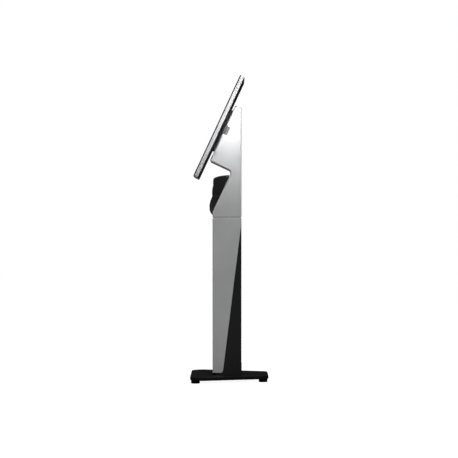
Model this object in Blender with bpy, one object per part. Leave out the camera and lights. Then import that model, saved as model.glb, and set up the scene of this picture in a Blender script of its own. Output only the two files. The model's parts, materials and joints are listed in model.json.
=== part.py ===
"""Floor-standing touchscreen kiosk with a receipt printer.

Metres, +Z up. The front faces -Y and the user's right is +X. The origin is the centre of the base,
on the floor.
The screen leans back by SCREEN_TILT, so its pieces are built upright in the screen's own frame, x across,
y backwards from the front of the glass and z up along it, and are parented to the empty screen_frame.
"""
import math

import bmesh
import bpy
from mathutils import Matrix, Vector

# Clearances, stock and tolerances
GAP = 0.0003
SHEET = 0.002
SURFACE = 1e-5
SAME = 1e-6
THROUGH = 0.1

# Base plate and feet
BASE_FRONT = 0.432
BASE_REAR = 0.220
BASE_DEPTH = 0.364
BASE_LOW = 0.016
BASE_THICK = 0.015
BASE_TOP = BASE_LOW + BASE_THICK
BASE_FRONT_ROUND = 0.055
BASE_REAR_ROUND = 0.028
FOOT_RADIUS = 0.0205
FOOT_HEIGHT = 0.0157
STUD_RADIUS = 0.005
STUD_LENGTH = 0.012
PLATE_ROUND = 0.0030
FOOT_PLACES = {
    "foot_front_left": (-0.140, -0.157),
    "foot_front_right": (0.140, -0.157),
    "foot_rear_left": (-0.080, 0.157),
    "foot_rear_right": (0.080, 0.157),
}

# Column
COLUMN_HALF = 0.075
COLUMN_FRONT = -0.079
COLUMN_REAR = 0.0562
COLUMN_TOP = 0.7615
COVER_LOW = 0.041
COVER_SEAM_LOW = (-0.0309, COVER_LOW)
COVER_SEAM_HIGH = (0.0550, 0.7375)
COVER_ROUND = 0.014
CORE_HALF = COLUMN_HALF - SHEET - GAP
CORE_FRONT = -0.060
OPENING_HALF = 0.065
OPENING_LOW = 0.095
OPENING_HIGH = 0.735
CAP_TOP = 0.7655
FLANGE_HALF = 0.066
FLANGE_THICK = 0.008
FLANGE_TOP = BASE_TOP + GAP + FLANGE_THICK
FLANGE_Y = (-0.056, 0.050)
BOLT_X = 0.050
BOLT_Y = (-0.042, 0.040)
BOLT_RADIUS = 0.004
BOLT_HEAD_RADIUS = 0.0068
BOLT_HEAD = 0.008
BOLT_DEPTH = 0.010
POST_HALF = 0.030
POST_Y = (0.0095, 0.0335)
POST_WALL = 0.0025
POST_TOP = 1.160

# Rear door and its lock
DOOR_X = (-0.0645, 0.0635)
DOOR_Z = (OPENING_LOW + 0.0006, OPENING_HIGH - 0.0006)
DOOR_OUT = 0.0555
DOOR_PAN = 0.012
HINGE_X = 0.0605
HINGE_Y = 0.0520
HINGE_PIN_RADIUS = 0.0015
LOCK_X = -0.050
LOCK_Z = 0.415
LOCK_PLUG_RADIUS = 0.0050
LOCK_SLEEVE_RADIUS = 0.0085

# Head
HEAD_LOW = 0.766
HEAD_REAR = 0.0565
PLATE_THICK = 0.008
PLATE_IN = COLUMN_HALF - PLATE_THICK
INNER_HALF = PLATE_IN - GAP
STEP_TOP = 0.791
STEP_ROUND = 0.016

# Screen, in its own frame
SCREEN_TILT = math.radians(25.0)
SCREEN_FOOT = (-0.1674, 0.9587)
SCREEN_HALF = 0.152
SCREEN_LONG = 0.5145
SCREEN_ROUND = 0.010
GLASS_THICK = 0.003
CHASSIS_Y = (0.0053, 0.0214)
REAR_COVER_Y = (0.0217, 0.0235)
BLOCK_Y = (0.0238, 0.0370)
BLOCK_Z = (0.150, 0.357)
PLATE_Y = (0.0376, 0.0412)
PLATE_Z = (0.1035, 0.378)
HEAD_FRONT_Y = 0.0373
HEAD_ARM_Z = 0.0976
HEAD_TOP_Z = 0.3839
STEP_Y = 0.1506
NOTCH_Y = 0.0600
NOTCH_Z = (0.238, 0.279)
BLOCK_CENTRE = (BLOCK_Z[0] + BLOCK_Z[1]) / 2
BLOCK_HALF = 0.060
VESA_HALF = 0.050
VESA_SCREW_RADIUS = 0.0020
BEZEL_BORDER = 0.0170
BEZEL_WINDOW_HALF = 0.1345
PANEL_HALF = 0.1430
PANEL_Y = (0.0056, 0.0110)
PANEL_Z = (0.0100, 0.5045)
BOARD_HALF = 0.1000
BOARD_Y = (0.0128, 0.0144)
BOARD_Z = (0.1500, 0.3600)
VENTS_Z = (0.400, 0.410, 0.420, 0.430, 0.440)
VENT_HALF = 0.060
VENT_HIGH = 0.004
POWER_BUTTON = (0.120, 0.0136)
FAN_HALF = 0.030
FAN_Y = (0.0124, 0.0208)
FAN_MIDDLE = (0.0168, 0.4200)
FAN_PIN_RADIUS = 0.0018

# Printer
PRINTER_HALF = 0.0655
PRINTER_WALL = 0.003
PRINTER_BACK_Y = 0.1490
LID_HALF = PRINTER_HALF - PRINTER_WALL - 0.0005
LID_PIN = (-0.0115, 0.9580)
FLAP_PIN = (-0.0838, 0.7905)
FLAP_HALF = 0.0610
PIN_RADIUS = 0.00125
ROLL_CENTRE = (-0.0425, 0.9320)
ROLL_RADIUS = 0.0205
ROLL_HALF = 0.0400
PLATEN_CENTRE = (-0.0655, 0.9435)
PLATEN_RADIUS = 0.0050
FEED_BUTTON = (0.0520, 0.9270)
FEED_BUTTON_Y = -0.0772

# The printer's lid skin and chin skin, as (y, z) points from the rear down to the front and from top to foot
LID_LINE = [(-0.0045, 0.9655), (-0.0370, 0.9620), (-0.0560, 0.9580), (-0.0700, 0.9520), (-0.0745, 0.9470)]
CHIN_LINE = [
    (-0.0806, 0.8680),
    (-0.0844, 0.8560),
    (-0.0885, 0.8460),
    (-0.0913, 0.8370),
    (-0.0932, 0.8250),
    (-0.0934, 0.8150),
    (-0.0922, 0.8000),
    (-0.0885, 0.7905),
    (-0.0850, 0.7850),
    (-0.0803, 0.7800),
]

ROUND_STEPS = 20
CORNER_STEPS = 4


def clear_scene():
    """Remove every object, so that the file can be run again."""
    for item in list(bpy.data.objects):
        bpy.data.objects.remove(item, do_unlink=True)


def finish(name, colour, roughness, metallic=0.0):
    """Make a plain Principled material."""
    material = bpy.data.materials.new(name)
    material.use_nodes = True
    shader = material.node_tree.nodes["Principled BSDF"]
    shader.inputs["Base Color"].default_value = (*colour, 1.0)
    shader.inputs["Roughness"].default_value = roughness
    shader.inputs["Metallic"].default_value = metallic
    return material


def from_screen(y, z):
    """Turn a point of the screen's own frame into world (y, z)."""
    sine = math.sin(SCREEN_TILT)
    cosine = math.cos(SCREEN_TILT)
    return (
        SCREEN_FOOT[0] + y * cosine + z * sine,
        SCREEN_FOOT[1] - y * sine + z * cosine,
    )


def line_at_height(y, height):
    """Give the world (y, z) where the screen-parallel line at depth y reaches a height."""
    sine = math.sin(SCREEN_TILT)
    cosine = math.cos(SCREEN_TILT)
    z = (height - SCREEN_FOOT[1] + y * sine) / cosine
    return from_screen(y, z)


def face_outward(bm):
    """Point every face of a closed bmesh outwards."""
    bmesh.ops.recalc_face_normals(bm, faces=bm.faces)
    if bm.calc_volume(signed=True) < 0.0:
        bmesh.ops.reverse_faces(bm, faces=bm.faces)


def add(name, bm, material, parent=None, origin=(0.0, 0.0, 0.0)):
    """Turn a bmesh into a named object with its origin at the given point."""
    face_outward(bm)
    bmesh.ops.translate(bm, verts=bm.verts, vec=-Vector(origin))
    mesh = bpy.data.meshes.new(name)
    bm.to_mesh(mesh)
    bm.free()
    mesh.materials.append(material)
    item = bpy.data.objects.new(name, mesh)
    item.location = origin
    bpy.context.collection.objects.link(item)
    if parent is not None:
        item.parent = parent
    return item


def rounded_outline(corners):
    """Turn (a, b, radius) corners into points, with an arc in place of each rounded corner."""
    points = []
    count = len(corners)
    for index, (a, b, radius) in enumerate(corners):
        here = Vector((a, b))
        if radius <= 0.0:
            points.append((a, b))
            continue
        before = Vector(corners[index - 1][:2]) - here
        after = Vector(corners[(index + 1) % count][:2]) - here
        before.normalize()
        after.normalize()
        half_angle = before.angle(after) / 2.0
        centre = here + (before + after).normalized() * radius / math.sin(half_angle)
        start = here + before * radius / math.tan(half_angle) - centre
        end = here + after * radius / math.tan(half_angle) - centre
        turn = start.angle_signed(end)
        for step in range(CORNER_STEPS + 1):
            spoke = start.copy()
            spoke.rotate(Matrix.Rotation(-turn * step / CORNER_STEPS, 2))
            points.append(tuple(centre + spoke))
    return points


def prism(outline, low, high, axis="x"):
    """Extrude an outline along an axis: (y, z) points along x, (x, z) along y, (x, y) along z."""
    place = {
        "x": lambda a, b, c: (c, a, b),
        "y": lambda a, b, c: (a, c, b),
        "z": lambda a, b, c: (a, b, c),
    }[axis]
    bm = bmesh.new()
    verts = [bm.verts.new(place(a, b, low)) for a, b in outline]
    face = bm.faces.new(verts)
    made = bmesh.ops.extrude_face_region(bm, geom=[face])
    moved = [item for item in made["geom"] if isinstance(item, bmesh.types.BMVert)]
    bmesh.ops.translate(bm, verts=moved, vec=Vector(place(0.0, 0.0, high - low)))
    return bm


def block(x, y, z):
    """Make a box from three (low, high) pairs."""
    return prism([(x[0], y[0]), (x[1], y[0]), (x[1], y[1]), (x[0], y[1])], z[0], z[1], "z")


def turned(profile, centre, axis="z", steps=ROUND_STEPS):
    """Spin a (radius, height) profile into a solid. One that stays off the axis closes on itself."""
    bm = bmesh.new()
    ring = [bm.verts.new((radius, 0.0, height)) for radius, height in profile]
    following = ring[1:] + ring[:1] if profile[0][0] > 0.0 else ring[1:]
    edges = [bm.edges.new(pair) for pair in zip(ring, following)]
    bmesh.ops.spin(bm, geom=ring + edges, axis=(0, 0, 1), cent=(0, 0, 0), steps=steps, angle=math.tau)
    bmesh.ops.remove_doubles(bm, verts=bm.verts, dist=0.00001)
    turn = {
        "x": Matrix.Rotation(math.pi / 2, 4, "Y"),
        "y": Matrix.Rotation(-math.pi / 2, 4, "X"),
        "z": Matrix.Identity(4),
    }[axis]
    bm.transform(Matrix.Translation(centre) @ turn)
    return bm


def rod(radius, low, high, centre, axis="z", steps=ROUND_STEPS):
    """Make a plain cylinder from low to high along an axis, through centre."""
    return turned([(0.0, low), (radius, low), (radius, high), (0.0, high)], centre, axis, steps)


def level(edge, axis):
    """Say whether an edge's two ends share their place on an axis: 0 for x, 1 for y, 2 for z."""
    return abs(edge.verts[0].co[axis] - edge.verts[1].co[axis]) < SAME


def bevel_edges(bm, width, keep, segments=3):
    """Round the edges that the test keeps."""
    edges = [edge for edge in bm.edges if keep(edge)]
    bmesh.ops.bevel(bm, geom=edges, offset=width, segments=segments, profile=0.5, affect="EDGES")


def combine(item, tools, operation):
    """Apply a list of bmesh tools to an object with Boolean modifiers and hide the tools."""
    for number, tool in enumerate(tools):
        face_outward(tool)
        mesh = bpy.data.meshes.new(f"{item.name}_tool")
        tool.to_mesh(mesh)
        tool.free()
        helper = bpy.data.objects.new(f"{item.name}_{operation.lower()}_{number}", mesh)
        helper.hide_render = True
        helper.display_type = "WIRE"
        bpy.context.collection.objects.link(helper)
        helper.parent = item.parent
        modifier = item.modifiers.new(f"{operation.lower()}_{number}", "BOOLEAN")
        modifier.operation = operation
        modifier.solver = "EXACT"
        modifier.object = helper


def cut(item, tools):
    """Cut the tools out of an object."""
    combine(item, tools, "DIFFERENCE")


def join(item, tools):
    """Weld the tools onto an object."""
    combine(item, tools, "UNION")


def build_base(steel, rubber):
    """Base plate with its levelling feet."""
    half = BASE_DEPTH / 2
    corners = [
        (BASE_FRONT / 2, -half, BASE_FRONT_ROUND),
        (BASE_REAR / 2, half, BASE_REAR_ROUND),
        (-BASE_REAR / 2, half, BASE_REAR_ROUND),
        (-BASE_FRONT / 2, -half, BASE_FRONT_ROUND),
    ]
    bm = prism(rounded_outline(corners), BASE_LOW, BASE_TOP, "z")
    bevel_edges(bm, PLATE_ROUND, lambda edge: level(edge, 2), 2)
    plate = add("base_plate", bm, steel)
    holes = []
    for x, y in FOOT_PLACES.values():
        holes.append(rod(STUD_RADIUS + GAP, 0.0, BASE_LOW + STUD_LENGTH + GAP, (x, y, 0.0), steps=16))
    for x in (-BOLT_X, BOLT_X):
        for y in BOLT_Y:
            depth = BASE_TOP - BOLT_DEPTH - GAP
            holes.append(rod(BOLT_RADIUS + GAP, depth, BASE_TOP + 0.01, (x, y, 0.0), steps=16))
    cut(plate, holes)
    profile = [
        (0.0, 0.0),
        (FOOT_RADIUS - 0.004, 0.0),
        (FOOT_RADIUS - 0.001, 0.0012),
        (FOOT_RADIUS, 0.0045),
        (FOOT_RADIUS, FOOT_HEIGHT - 0.0015),
        (FOOT_RADIUS - 0.0015, FOOT_HEIGHT),
        (STUD_RADIUS, FOOT_HEIGHT),
        (STUD_RADIUS, BASE_LOW + STUD_LENGTH),
        (0.0, BASE_LOW + STUD_LENGTH),
    ]
    for name, (x, y) in FOOT_PLACES.items():
        add(name, turned(profile, (x, y, 0.0)), rubber, origin=(x, y, 0.0))


def build_column(black, silver, steel, zinc):
    """Flange, post, black core, silver cover and the cap under the head."""
    bm = block((-FLANGE_HALF, FLANGE_HALF), FLANGE_Y, (BASE_TOP + GAP, FLANGE_TOP))
    flange = add("column_flange", bm, steel)
    places = [(x, y, 0.0) for x in (-BOLT_X, BOLT_X) for y in BOLT_Y]
    cut(flange, [rod(BOLT_RADIUS + GAP, 0.0, THROUGH, place, steps=16) for place in places])
    low = BASE_TOP - BOLT_DEPTH
    seat = FLANGE_TOP + GAP
    profile = [
        (0.0, low),
        (BOLT_RADIUS, low),
        (BOLT_RADIUS, seat),
        (BOLT_HEAD_RADIUS, seat),
        (BOLT_HEAD_RADIUS, seat + BOLT_HEAD),
        (0.0034, seat + BOLT_HEAD),
        (0.0034, seat + BOLT_HEAD / 2),
        (0.0, seat + BOLT_HEAD / 2),
    ]
    for number, place in enumerate(places, 1):
        add(f"flange_bolt_{number}", turned(profile, place, steps=16), zinc)

    post_z = (FLANGE_TOP + GAP, POST_TOP)
    post = add("column_post", block((-POST_HALF, POST_HALF), POST_Y, post_z), steel)
    inner_x = (-POST_HALF + POST_WALL, POST_HALF - POST_WALL)
    inner_y = (POST_Y[0] + POST_WALL, POST_Y[1] - POST_WALL)
    cut(post, [block(inner_x, inner_y, (0.0, POST_TOP + 0.1))])

    bm = block((-CORE_HALF, CORE_HALF), (CORE_FRONT, COLUMN_REAR), (BASE_TOP + GAP, COLUMN_TOP))
    rear = COLUMN_REAR - SURFACE
    bevel_edges(bm, 0.003, lambda edge: min(vert.co.y for vert in edge.verts) > rear and level(edge, 0), 3)
    core = add("column_core", bm, black)
    wall = CORE_HALF - SHEET
    cut(core, [
        block((-wall, wall), (CORE_FRONT - 0.01, COLUMN_REAR - SHEET), (0.0, COLUMN_TOP + 0.1)),
        block((-OPENING_HALF, OPENING_HALF), (0.0, COLUMN_REAR + 0.01), (OPENING_LOW, OPENING_HIGH)),
        block((-0.0223, 0.0223), (0.03, COLUMN_REAR + 0.01), (0.0467, 0.0793)),
    ])

    outline = rounded_outline([
        (COLUMN_FRONT, COVER_LOW, 0.0),
        (*COVER_SEAM_LOW, COVER_ROUND),
        (*COVER_SEAM_HIGH, 0.0),
        (COVER_SEAM_HIGH[0], COLUMN_TOP, 0.0),
        (COLUMN_FRONT, COLUMN_TOP, 0.0),
    ])
    bm = prism(outline, -COLUMN_HALF, COLUMN_HALF, "x")
    front = COLUMN_FRONT + SURFACE
    bevel_edges(bm, 0.005, lambda edge: max(vert.co.y for vert in edge.verts) < front and level(edge, 0), 4)
    cover = add("column_cover", bm, silver)
    wall = COLUMN_HALF - SHEET
    cut(cover, [block((-wall, wall), (COLUMN_FRONT + SHEET, 0.1), (0.0, 0.9))])

    outline = rounded_outline([
        (COLUMN_HALF - 0.0004, COLUMN_FRONT + 0.0004, 0.005),
        (COLUMN_HALF - 0.0004, COLUMN_REAR - 0.0008, 0.005),
        (-COLUMN_HALF + 0.0004, COLUMN_REAR - 0.0008, 0.005),
        (-COLUMN_HALF + 0.0004, COLUMN_FRONT + 0.0004, 0.005),
    ])
    cap = add("column_cap", prism(outline, COLUMN_TOP + GAP, CAP_TOP, "z"), silver)
    slot_x = (-POST_HALF - 0.001, POST_HALF + 0.001)
    cut(cap, [block(slot_x, (POST_Y[0] - 0.001, POST_Y[1] + 0.001), (0.7, 0.8))])


def build_door(black, zinc):
    """Rear door, its two hinge pins, the lock sleeve and the turning cam."""
    pivot = (HINGE_X, HINGE_Y, DOOR_Z[0])
    bm = block(DOOR_X, (DOOR_OUT - DOOR_PAN, DOOR_OUT), DOOR_Z)
    outer = DOOR_OUT - SURFACE
    bevel_edges(bm, 0.0015, lambda edge: min(vert.co.y for vert in edge.verts) > outer, 2)
    door = add("rear_door", bm, black, origin=pivot)
    pan_x = (DOOR_X[0] + 0.0015, DOOR_X[1] - 0.0015)
    pan_z = (DOOR_Z[0] + 0.0015, DOOR_Z[1] - 0.0015)
    cut(door, [
        block(pan_x, (0.0, DOOR_OUT - 0.0015), pan_z),
        rod(HINGE_PIN_RADIUS + GAP, 0.0, 0.8, (HINGE_X, HINGE_Y, 0.0), steps=12),
        rod(LOCK_SLEEVE_RADIUS - 0.0015 + GAP, -0.02, 0.02, (LOCK_X, DOOR_OUT, LOCK_Z), "y"),
    ])
    pins = (("door_pin_lower", 1, DOOR_Z[0] - 0.0086), ("door_pin_upper", -1, DOOR_Z[1] + 0.0086))
    for name, side, low in pins:
        ends = sorted((low, low + side * 0.004))
        tip = sorted((low + side * 0.002, low + side * 0.0145))
        bm = block((HINGE_X - 0.008, CORE_HALF - SHEET - GAP), (0.038, COLUMN_REAR - SHEET - GAP), ends)
        pin = add(name, bm, zinc)
        join(pin, [rod(HINGE_PIN_RADIUS, tip[0], tip[1], (HINGE_X, HINGE_Y, 0.0), steps=12)])
    sleeve_in = DOOR_OUT - 0.0180
    sleeve = LOCK_SLEEVE_RADIUS - 0.0015
    profile = [
        (LOCK_PLUG_RADIUS + GAP, sleeve_in),
        (sleeve, sleeve_in),
        (sleeve, DOOR_OUT + GAP),
        (LOCK_SLEEVE_RADIUS, DOOR_OUT + GAP),
        (LOCK_SLEEVE_RADIUS, DOOR_OUT + 0.0012),
        (LOCK_PLUG_RADIUS + GAP, DOOR_OUT + 0.0012),
    ]
    add("door_lock_sleeve", turned(profile, (LOCK_X, 0.0, LOCK_Z), "y"), zinc)
    axis = (LOCK_X, 0.0, LOCK_Z)
    plug = add("door_lock_cam", rod(LOCK_PLUG_RADIUS, sleeve_in - 0.004, DOOR_OUT + 0.0009, axis, "y"), zinc,
               origin=(LOCK_X, DOOR_OUT, LOCK_Z))
    tongue = rounded_outline([
        (LOCK_X - 0.0065, LOCK_Z + 0.0065, 0.003),
        (LOCK_X + 0.0065, LOCK_Z + 0.0065, 0.003),
        (LOCK_X + 0.0065, LOCK_Z - 0.0175, 0.004),
        (LOCK_X - 0.0065, LOCK_Z - 0.0175, 0.004),
    ])
    join(plug, [prism(tongue, sleeve_in - 0.0035, sleeve_in - 0.0010, "y")])
    keyway_x = (LOCK_X - 0.0006, LOCK_X + 0.0006)
    cut(plug, [block(keyway_x, (DOOR_OUT - 0.004, THROUGH), (LOCK_Z - 0.003, LOCK_Z + 0.003))])


def build_supply(plastic, black):
    """Power strip, power brick, mains inlet and its switch inside the column's foot."""
    side = CORE_HALF - SHEET - GAP
    strip = add("power_strip", block((-side, -0.036), (-0.050, -0.012), (0.150, 0.420)), plastic)
    sockets = []
    for number in range(4):
        sockets.append(rod(0.0095, -0.008, 0.020, (-0.054, -0.012, 0.185 + number * 0.065), "y", 16))
    cut(strip, sockets)
    bm = block((0.036, side), (-0.052, -0.016), (0.180, 0.330))
    bevel_edges(bm, 0.004, lambda edge: not level(edge, 2), 2)
    add("power_brick", bm, black)

    flange = block((-0.0280, 0.0280), (COLUMN_REAR + GAP, COLUMN_REAR + 0.0015), (0.0430, 0.0830))
    inlet = add("mains_inlet", flange, plastic)
    join(inlet, [block((-0.0220, 0.0220), (0.034, COLUMN_REAR + 0.0010), (0.0470, 0.0790))])
    cut(inlet, [
        block((-0.0190, 0.0050), (0.040, 0.07), (0.0540, 0.0720)),
        block((0.0085, 0.0205), (0.036, 0.07), (0.0530, 0.0730)),
        block((0.0100, 0.0190), (0.03, 0.05), (0.0550, 0.0710)),
    ])
    blades = []
    for number, height in enumerate((0.0610, 0.0650, 0.0610)):
        x = -0.0140 + number * 0.0070
        blades.append(block((x - 0.0006, x + 0.0006), (0.036, 0.052), (height - 0.002, height + 0.002)))
    join(inlet, blades)
    pivot_y = COLUMN_REAR - 0.0060
    face = COLUMN_REAR + 0.0008
    rocker = [
        (pivot_y, 0.0555),
        (face, 0.0545),
        (face - 0.0015, 0.0630),
        (face + 0.0007, 0.0715),
        (pivot_y, 0.0705),
    ]
    add("mains_switch", prism(rocker, 0.0093, 0.0197, "x"), black, origin=(0.0145, pivot_y, 0.0630))


def head_outline():
    """Side profile of the head: a step for the printer below an arm that carries the screen."""
    foot_of_step = line_at_height(STEP_Y, STEP_TOP)
    return rounded_outline([
        (COLUMN_FRONT, HEAD_LOW, 0.0040),
        (HEAD_REAR, HEAD_LOW, 0.0060),
        (HEAD_REAR, line_at_rear(HEAD_TOP_Z), 0.0060),
        (*from_screen(HEAD_FRONT_Y, HEAD_TOP_Z), 0.0050),
        (*from_screen(HEAD_FRONT_Y, NOTCH_Z[1]), 0.0),
        (*from_screen(NOTCH_Y, NOTCH_Z[1]), 0.0),
        (*from_screen(NOTCH_Y, NOTCH_Z[0]), 0.0),
        (*from_screen(HEAD_FRONT_Y, NOTCH_Z[0]), 0.0),
        (*from_screen(HEAD_FRONT_Y, HEAD_ARM_Z), 0.0060),
        (*from_screen(STEP_Y, HEAD_ARM_Z), STEP_ROUND),
        (COLUMN_FRONT, foot_of_step[1], 0.0),
    ])


def line_at_rear(z):
    """Give the height where the line across the screen at z meets the head's rear face."""
    y = (HEAD_REAR - SCREEN_FOOT[0] - z * math.sin(SCREEN_TILT)) / math.cos(SCREEN_TILT)
    return from_screen(y, z)[1]


def slab(y, z, x):
    """Make a flat sheet in the screen's own frame, moved into the world."""
    corners = [(y[0], z[0]), (y[1], z[0]), (y[1], z[1]), (y[0], z[1])]
    return prism([from_screen(*corner) for corner in corners], x[0], x[1], "x")


def build_head(silver, steel, grey):
    """Two side plates, the sheets between them, the mounting plate and its gussets."""
    for side, name in ((-1, "left"), (1, "right")):
        outer = side * COLUMN_HALF
        bm = prism(head_outline(), min(outer, side * PLATE_IN), max(outer, side * PLATE_IN), "x")
        skin = COLUMN_HALF - SURFACE
        bevel_edges(bm, 0.0025, lambda edge: min(abs(vert.co.x) for vert in edge.verts) > skin, 2)
        add(f"head_side_{name}", bm, silver)
        port_z = (NOTCH_Z[0] + 0.0005, NOTCH_Z[1] - 0.0005)
        bm = slab((HEAD_FRONT_Y + 0.0008, NOTCH_Y - 0.0005), port_z, sorted((side * 0.0725, side * 0.0671)))
        port = add(f"cable_port_{name}", bm, grey)
        step_z = (port_z[0] + 0.0025, port_z[1] - 0.0025)
        low_step = slab((0.0, 0.0485), step_z, sorted((side * 0.08, side * 0.0690)))
        high_step = slab((0.0500, 0.0575), step_z, sorted((side * 0.08, side * 0.0710)))
        cut(port, [low_step, high_step])

    inner = (-INNER_HALF, INNER_HALF)
    top = line_at_rear(HEAD_TOP_Z) - 0.006
    bm = block(inner, (HEAD_REAR - 0.0045, HEAD_REAR - 0.0025), (0.7675, top))
    rear = add("head_rear_cover", bm, silver)
    slots = []
    for number in range(7):
        z = 1.150 + number * 0.0120
        slots.append(block((-0.040, 0.040), (0.0, THROUGH), (z, z + 0.0045)))
    cut(rear, slots)

    cap_z = (HEAD_TOP_Z - 0.0032, HEAD_TOP_Z - 0.0012)
    add("head_top_cap", slab((HEAD_FRONT_Y + 0.0008, 0.0680), cap_z, inner), silver)
    underside_z = (HEAD_ARM_Z + 0.0012, HEAD_ARM_Z + 0.0032)
    add("head_underside", slab((0.0425, STEP_Y - 0.010), underside_z, inner), silver)

    shelf_top = (STEP_Y + 0.0024, 0.083)
    foot = line_at_height(STEP_Y + 0.0024, 0.795)
    foot_in = line_at_height(STEP_Y + 0.0044, 0.796)
    outline = [
        from_screen(*shelf_top),
        foot,
        (foot[0], 0.7672),
        (foot[0] + SHEET, 0.7672),
        (foot[0] + SHEET, foot_in[1]),
        from_screen(STEP_Y + 0.0044, 0.083),
    ]
    add("printer_shelf", prism(outline, *inner, "x"), silver)

    plate = add("mount_plate", slab(PLATE_Y, PLATE_Z, inner), steel)
    holes = [slab((0.0, THROUGH), (BLOCK_CENTRE - 0.022, BLOCK_CENTRE + 0.022), (-0.022, 0.022))]
    holes += [screen_rod(VESA_SCREW_RADIUS + GAP, 0.0, THROUGH, x, z) for x, z in vesa_places()]
    cut(plate, holes)

    face = from_screen(PLATE_Y[1] + GAP, 0.0)
    slope = math.tan(SCREEN_TILT)
    top_z = POST_TOP - 0.004
    low_z = 1.045
    outline = [
        (face[0] + (low_z - face[1]) * slope, low_z),
        (POST_Y[0] - GAP, low_z + 0.050),
        (POST_Y[0] - GAP, top_z),
        (face[0] + (top_z - face[1]) * slope, top_z),
    ]
    for side, name in ((-1, "left"), (1, "right")):
        x = sorted((side * 0.0235, side * 0.0275))
        add(f"mount_gusset_{name}", prism(outline, x[0], x[1], "x"), steel)


def vesa_places():
    """Give the four screw places of the mounting block as (x, z) in the screen's own frame."""
    return [(x, BLOCK_CENTRE + z) for x in (-VESA_HALF, VESA_HALF) for z in (-VESA_HALF, VESA_HALF)]


def screen_rod(radius, low, high, x, z, steps=12):
    """Make a rod across the screen, moved into the world."""
    bm = rod(radius, low, high, (x, 0.0, z), "y", steps)
    bm.transform(Matrix.Translation((0.0, *SCREEN_FOOT)) @ Matrix.Rotation(-SCREEN_TILT, 4, "X"))
    return bm


def rounded_panel(half, low, high, rounding):
    """Outline of a panel centred on x, with one radius at its four corners."""
    corners = [(-half, low), (half, low), (half, high), (-half, high)]
    return rounded_outline([(*corner, rounding) for corner in corners])


def screen_outline(inset=0.0, rounding=SCREEN_ROUND):
    """Front outline of the screen, drawn in by an inset."""
    return rounded_panel(SCREEN_HALF - inset, inset, SCREEN_LONG - inset, rounding)


def build_screen(glass, black, silver, panel, board, zinc):
    """All of the screen's pieces, in its own frame under one tilted empty."""
    frame = bpy.data.objects.new("screen_frame", None)
    bpy.context.collection.objects.link(frame)
    frame.location = (0.0, *SCREEN_FOOT)
    frame.rotation_euler = (-SCREEN_TILT, 0.0, 0.0)

    add("screen_glass", prism(screen_outline(), 0.0, GLASS_THICK, "y"), glass, frame)
    bm = prism(screen_outline(0.0003), GLASS_THICK + GAP, CHASSIS_Y[0] - GAP, "y")
    bezel = add("screen_bezel", bm, black, frame)
    window_z = (BEZEL_BORDER, SCREEN_LONG - BEZEL_BORDER)
    cut(bezel, [block((-BEZEL_WINDOW_HALF, BEZEL_WINDOW_HALF), (-THROUGH, THROUGH), window_z)])
    chassis = add("screen_chassis", prism(screen_outline(), *CHASSIS_Y, "y"), silver, frame)
    button = (*POWER_BUTTON, 0.0)
    cut(chassis, [
        prism(screen_outline(0.004, 0.006), -THROUGH, THROUGH, "y"),
        rod(0.0035, -0.02, 0.02, button, "z", 16),
    ])
    profile = [
        (0.0, 0.0),
        (0.0026, 0.0),
        (0.0031, 0.0005),
        (0.0031, 0.0044),
        (0.0048, 0.0044),
        (0.0048, 0.0058),
        (0.0, 0.0058),
    ]
    add("screen_button", turned(profile, button, steps=16), black, frame, button)
    add("display_panel", block((-PANEL_HALF, PANEL_HALF), PANEL_Y, PANEL_Z), panel, frame)
    add("main_board", block((-BOARD_HALF, BOARD_HALF), BOARD_Y, BOARD_Z), board, frame)

    bm = prism(screen_outline(0.0015, 0.009), *REAR_COVER_Y, "y")
    cover = add("screen_rear_cover", bm, black, frame)
    cut(cover, [block((-VENT_HALF, VENT_HALF), (0.0, THROUGH), (z, z + VENT_HIGH)) for z in VENTS_Z])

    bm = prism(rounded_panel(BLOCK_HALF, *BLOCK_Z, 0.006), *BLOCK_Y, "y")
    mount = add("mount_block", bm, black, frame)
    screw_hole = VESA_SCREW_RADIUS + GAP
    cut(mount, [rod(screw_hole, 0.0, THROUGH, (x, 0.0, z), "y", 12) for x, z in vesa_places()])
    head = PLATE_Y[1] + GAP
    profile = [
        (0.0, BLOCK_Y[0]),
        (VESA_SCREW_RADIUS, BLOCK_Y[0]),
        (VESA_SCREW_RADIUS, head),
        (0.0040, head),
        (0.0040, head + 0.0026),
        (0.0, head + 0.0026),
    ]
    for number, (x, z) in enumerate(vesa_places(), 1):
        add(f"mount_screw_{number}", turned(profile, (x, 0.0, z), "y", 12), zinc, frame)

    build_fan(frame, black)


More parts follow.
